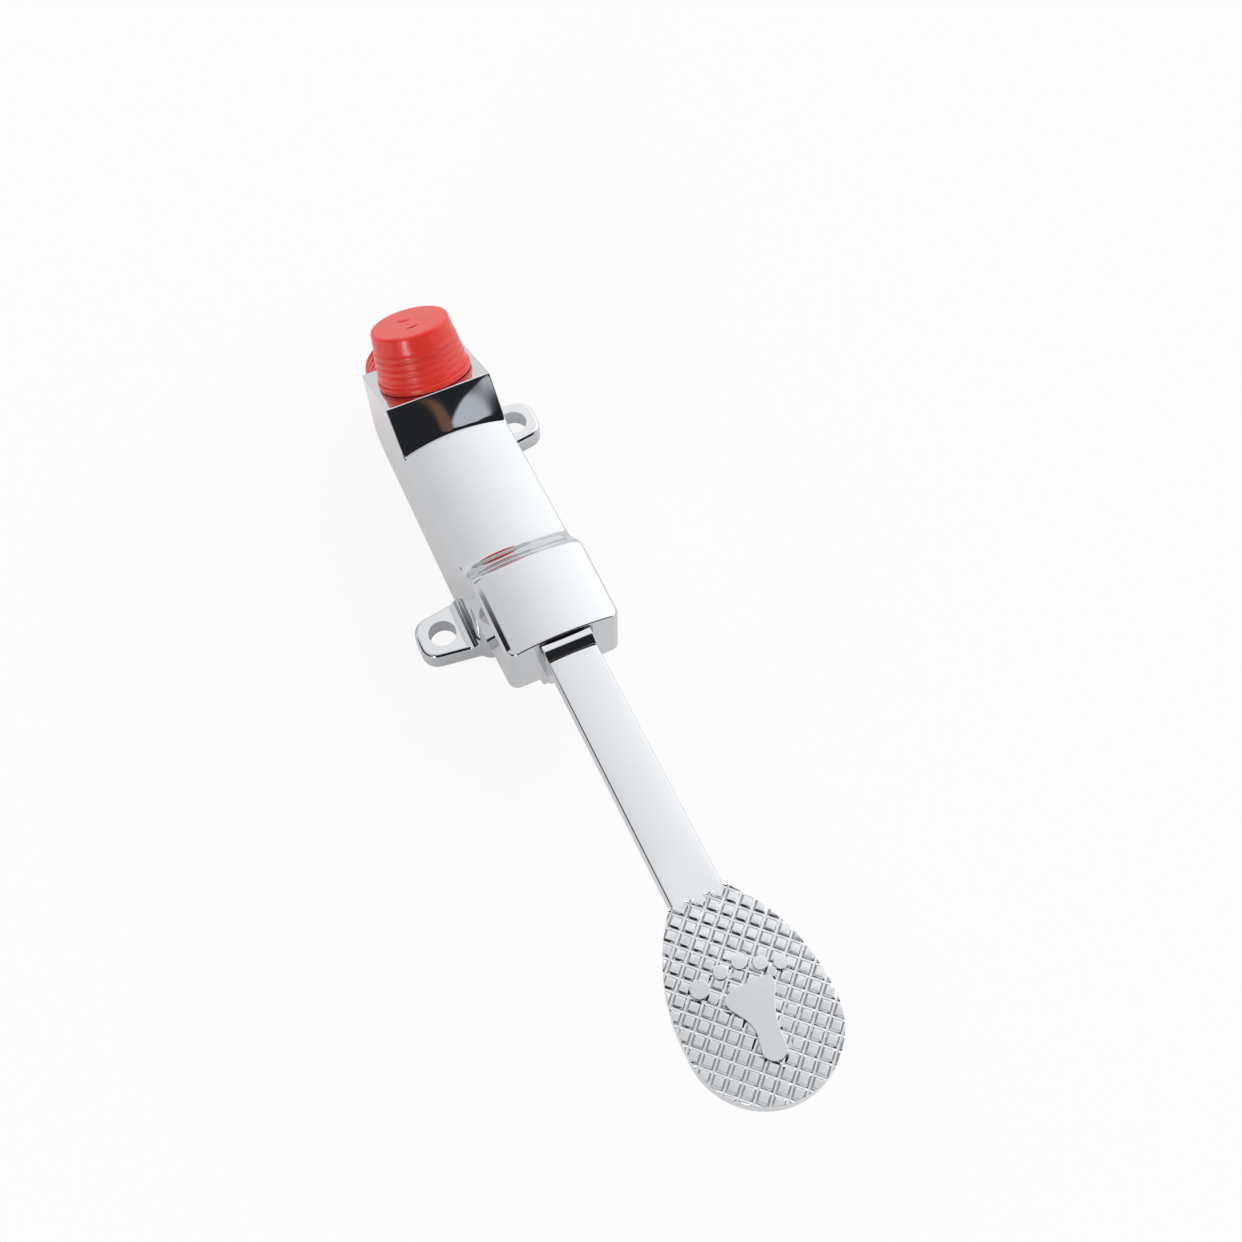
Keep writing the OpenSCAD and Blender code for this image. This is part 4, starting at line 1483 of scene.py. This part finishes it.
@dataclass
class Studio:
    """Pale floor, soft white room that is dark behind the camera, and the camera."""

    floor_m: float = 8
    floor_colour: str = "#F2F2F2"
    floor_lift: float = 0.9
    # Where the white that the chrome sees in the floor begins and ends, in metres, and its shares
    mirror_back: tuple[float, ...] = (-0.05, 0.2, 0.25, 0.6)
    mirror_right: tuple[float, ...] = (0.02, 0.15, 0, 0.5)
    left_level: float = 0.87
    right_level: float = 1.55
    left_x: float = -0.2
    right_x: float = 0.55
    spill: float = 0.4
    zenith_level: float = 0.8
    zenith_z: Spot = (0.925, 0.945)
    focal_px: float = 1528.33
    camera_mm: Place = (-56.9, -218.2, 359.8)
    turn: float = -24.46
    tilt: float = 61.59
    roll: float = -0.39
    zones: tuple[Zone, ...] = (
        # Dark room behind the camera and dark wall to the left
        Zone(((NEAR, 0.17), (RIGHT, -0.5), (LEFT, -0.66), (UP, 0.02)), "#2B2C30"),
        Zone(
            ((LEFT, 0.55), (FAR, -0.52), (NEAR, -0.485), (UP, 0.02), (DOWN, -0.7)),
            "#2B2C30", soft=0.03,
        ),
        # Pale patch and brown streak that the front slope shows
        Zone(
            (((-0.849, -0.479, -0.224), 0), ((0.916, -0.151, -0.373), 0), ((0.466, 0.632, 0.62), 0)),
            "#B9BCC2", 1.3, 0.006,
        ),
        Zone(
            (((0.989, 0.018, -0.145), 0), ((-0.984, -0.178, 0.024), 0), (NEAR, 0.5), (UP, 0.4)),
            "#7A5B4C", soft=0.006,
        ),
        # Grey walls to the right and at the back
        Zone(((RIGHT, 0.7), (NEAR, 0.36), (UP, 0)), "#A8AAAE"),
        Zone(((FAR, 0.7), (LEFT, 0.25), (UP, 0.02), (DOWN, -0.4)), "#A8AAAE"),
        # Bright window that shines on the red caps
        Zone(
            ((LEFT, 0.52), (RIGHT, -0.68), (NEAR, 0.66), (UP, 0.12), (DOWN, -0.42)),
            "#FFFFFF", 9, 0.03,
        ),
    )

    def build(self) -> None:
        """Sets the scene up."""
        self.floor()
        self.room()
        self.camera()
        bpy.context.scene.view_settings.view_transform = "Standard"

    def floor(self) -> None:
        """Lays the floor, lifted towards white for the camera and in the chrome."""
        floor = start(bpy.ops.mesh.primitive_plane_add, "floor", size=self.floor_m)
        material = bpy.data.materials.new("pale_floor")
        material.use_nodes = True
        tree = material.node_tree
        shader = tree.nodes["Principled BSDF"]
        shader.inputs["Base Color"].default_value = linear(self.floor_colour)
        shader.inputs["Roughness"].default_value = 0.9
        shader.inputs["Specular IOR Level"].default_value = 0.0
        white = add_node(tree, "Emission", {"Strength": 1.0})
        spot = add_node(tree, "SeparateXYZ", links={0: add_node(tree, "TexCoord").outputs["Object"]})
        keys = ("From Min", "From Max", "To Min", "To Max")
        rises = [
            add_node(tree, "MapRange", dict(zip(keys, span)), {"Value": spot.outputs[axis]}).outputs[0]
            for axis, span in (("Y", self.mirror_back), ("X", self.mirror_right))
        ]
        most = add_node(tree, "Math", links=dict(enumerate(rises)), operation="MAXIMUM").outputs[0]
        path = add_node(tree, "LightPath")
        glossy = {0: most, 1: path.outputs["Is Glossy Ray"]}
        mirrored = add_node(tree, "Math", links=glossy, operation="MULTIPLY").outputs[0]
        seen = {0: path.outputs["Is Camera Ray"], 2: mirrored}
        lift = add_node(tree, "Math", {1: self.floor_lift}, seen, operation="MULTIPLY_ADD").outputs[0]
        mixed = add_node(tree, "MixShader", links={0: lift, 1: shader.outputs[0], 2: white.outputs[0]})
        tree.links.new(mixed.outputs[0], tree.nodes["Material Output"].inputs["Surface"])
        floor.data.materials.append(material)

    def room(self) -> None:
        """Makes the soft room: brighter to the right, with its dark and pale zones."""
        world = bpy.data.worlds.new("soft_room")
        bpy.context.scene.world = world
        world.use_nodes = True
        tree = world.node_tree
        way = add_node(tree, "TexCoord").outputs["Generated"]
        parts = add_node(tree, "SeparateXYZ", links={0: way})
        across = add_node(
            tree,
            "MapRange",
            {
                "From Min": self.left_x,
                "From Max": self.right_x,
                "To Min": self.left_level,
                "To Max": self.right_level,
            },
            {"Value": parts.outputs["X"]},
        )
        overhead = add_node(
            tree,
            "MapRange",
            {
                "From Min": self.zenith_z[0],
                "From Max": self.zenith_z[1],
                "To Min": 1.0,
                "To Max": self.zenith_level,
            },
            {"Value": parts.outputs["Z"]},
            interpolation_type="SMOOTHSTEP",
        )
        levels = {0: across.outputs[0], 1: overhead.outputs[0]}
        plain = shade = add_node(tree, "Math", links=levels, operation="MULTIPLY").outputs[0]
        for zone in self.zones:
            shade = self.zone_over(tree, way, shade, zone)
        path = add_node(tree, "LightPath")
        diffuse = {0: path.outputs["Is Diffuse Ray"]}
        spill = add_node(tree, "Math", {1: self.spill}, diffuse, operation="MULTIPLY").outputs[0]
        lit = add_node(tree, "Mix", links={0: spill, 6: shade, 7: plain}, data_type="RGBA")
        seen = {0: path.outputs["Is Camera Ray"], 6: lit.outputs[2]}
        shown = add_node(tree, "Mix", {7: (1, 1, 1, 1)}, seen, data_type="RGBA")
        tree.links.new(shown.outputs[2], tree.nodes["Background"].inputs["Color"])

    def zone_over(
        self,
        tree: bpy.types.NodeTree,
        way: bpy.types.NodeSocket,
        under: bpy.types.NodeSocket,
        zone: Zone,
    ) -> bpy.types.NodeSocket:
        """Lays one zone over the room's light.

        Args:
            tree: the world's nodes.
            way: direction that is looked at.
            under: light of the room so far.
            zone: the zone to lay over it.

        Returns:
            The light with the zone in it.
        """
        covers = []
        for direction, limit in zone.edges:
            along = add_node(tree, "VectorMath", {1: direction}, {0: way}, operation="DOT_PRODUCT")
            inside = add_node(
                tree,
                "MapRange",
                {"From Min": limit - zone.soft, "From Max": limit + zone.soft},
                {"Value": along.outputs["Value"]},
                interpolation_type="SMOOTHSTEP",
            )
            covers.append(inside.outputs[0])
        cover = covers[0]
        for other in covers[1:]:
            cover = add_node(tree, "Math", links={0: cover, 1: other}, operation="MULTIPLY").outputs[0]
        colour = [c * zone.level for c in linear(zone.colour)[:3]] + [1.0]
        over = add_node(tree, "Mix", {7: colour}, {0: cover, 6: under}, data_type="RGBA")
        return over.outputs[2]

    def camera(self) -> None:
        """Places the camera as the photograph's."""
        data = bpy.data.cameras.new("camera")
        data.sensor_width = 36
        data.lens = self.focal_px / PHOTO_SIZE * data.sensor_width
        data.clip_start = 0.01
        camera = bpy.data.objects.new("camera", data)
        bpy.context.scene.collection.objects.link(camera)
        turns = ((self.turn, "Z"), (90 - self.tilt, "X"), (self.roll, "Z"))
        place = Matrix.Translation(Vector(self.camera_mm) * MM)
        for angle, axis in turns:
            place = place @ Matrix.Rotation(math.radians(angle), 4, axis)
        camera.matrix_world = place
        bpy.context.scene.camera = camera


def main() -> None:
    """Builds the valve, piece by piece."""
    logging.basicConfig(level=logging.INFO, format="%(message)s")
    port, inlet = port_frame(), along_y(0, REAR_Y, AXIS_Z)
    Studio().build()
    ValveBody().build()
    Pedal().build()
    ThreadCap("red_outlet_cap", "outlet_cap", 15.4, 10.4, 9, port).build()
    ThreadCap("red_inlet_cap", "inlet_cap", 11, 11.2, 8.2, inlet).build()
    Nipple("threaded_outlet", "outlet_nipple", 9, 8, 5.5, 6, port).build()
    Nipple(
        "threaded_inlet", "inlet_nipple", 8.2, 9, 7, 5.5, inlet,
        mouth_r=6.7, mouth_l=1.3, room_r=7, room_l=12.35,
    ).build()
    ReturnSpring().build()
    ValveTrain().build()


if __name__ == "__main__":
    main()
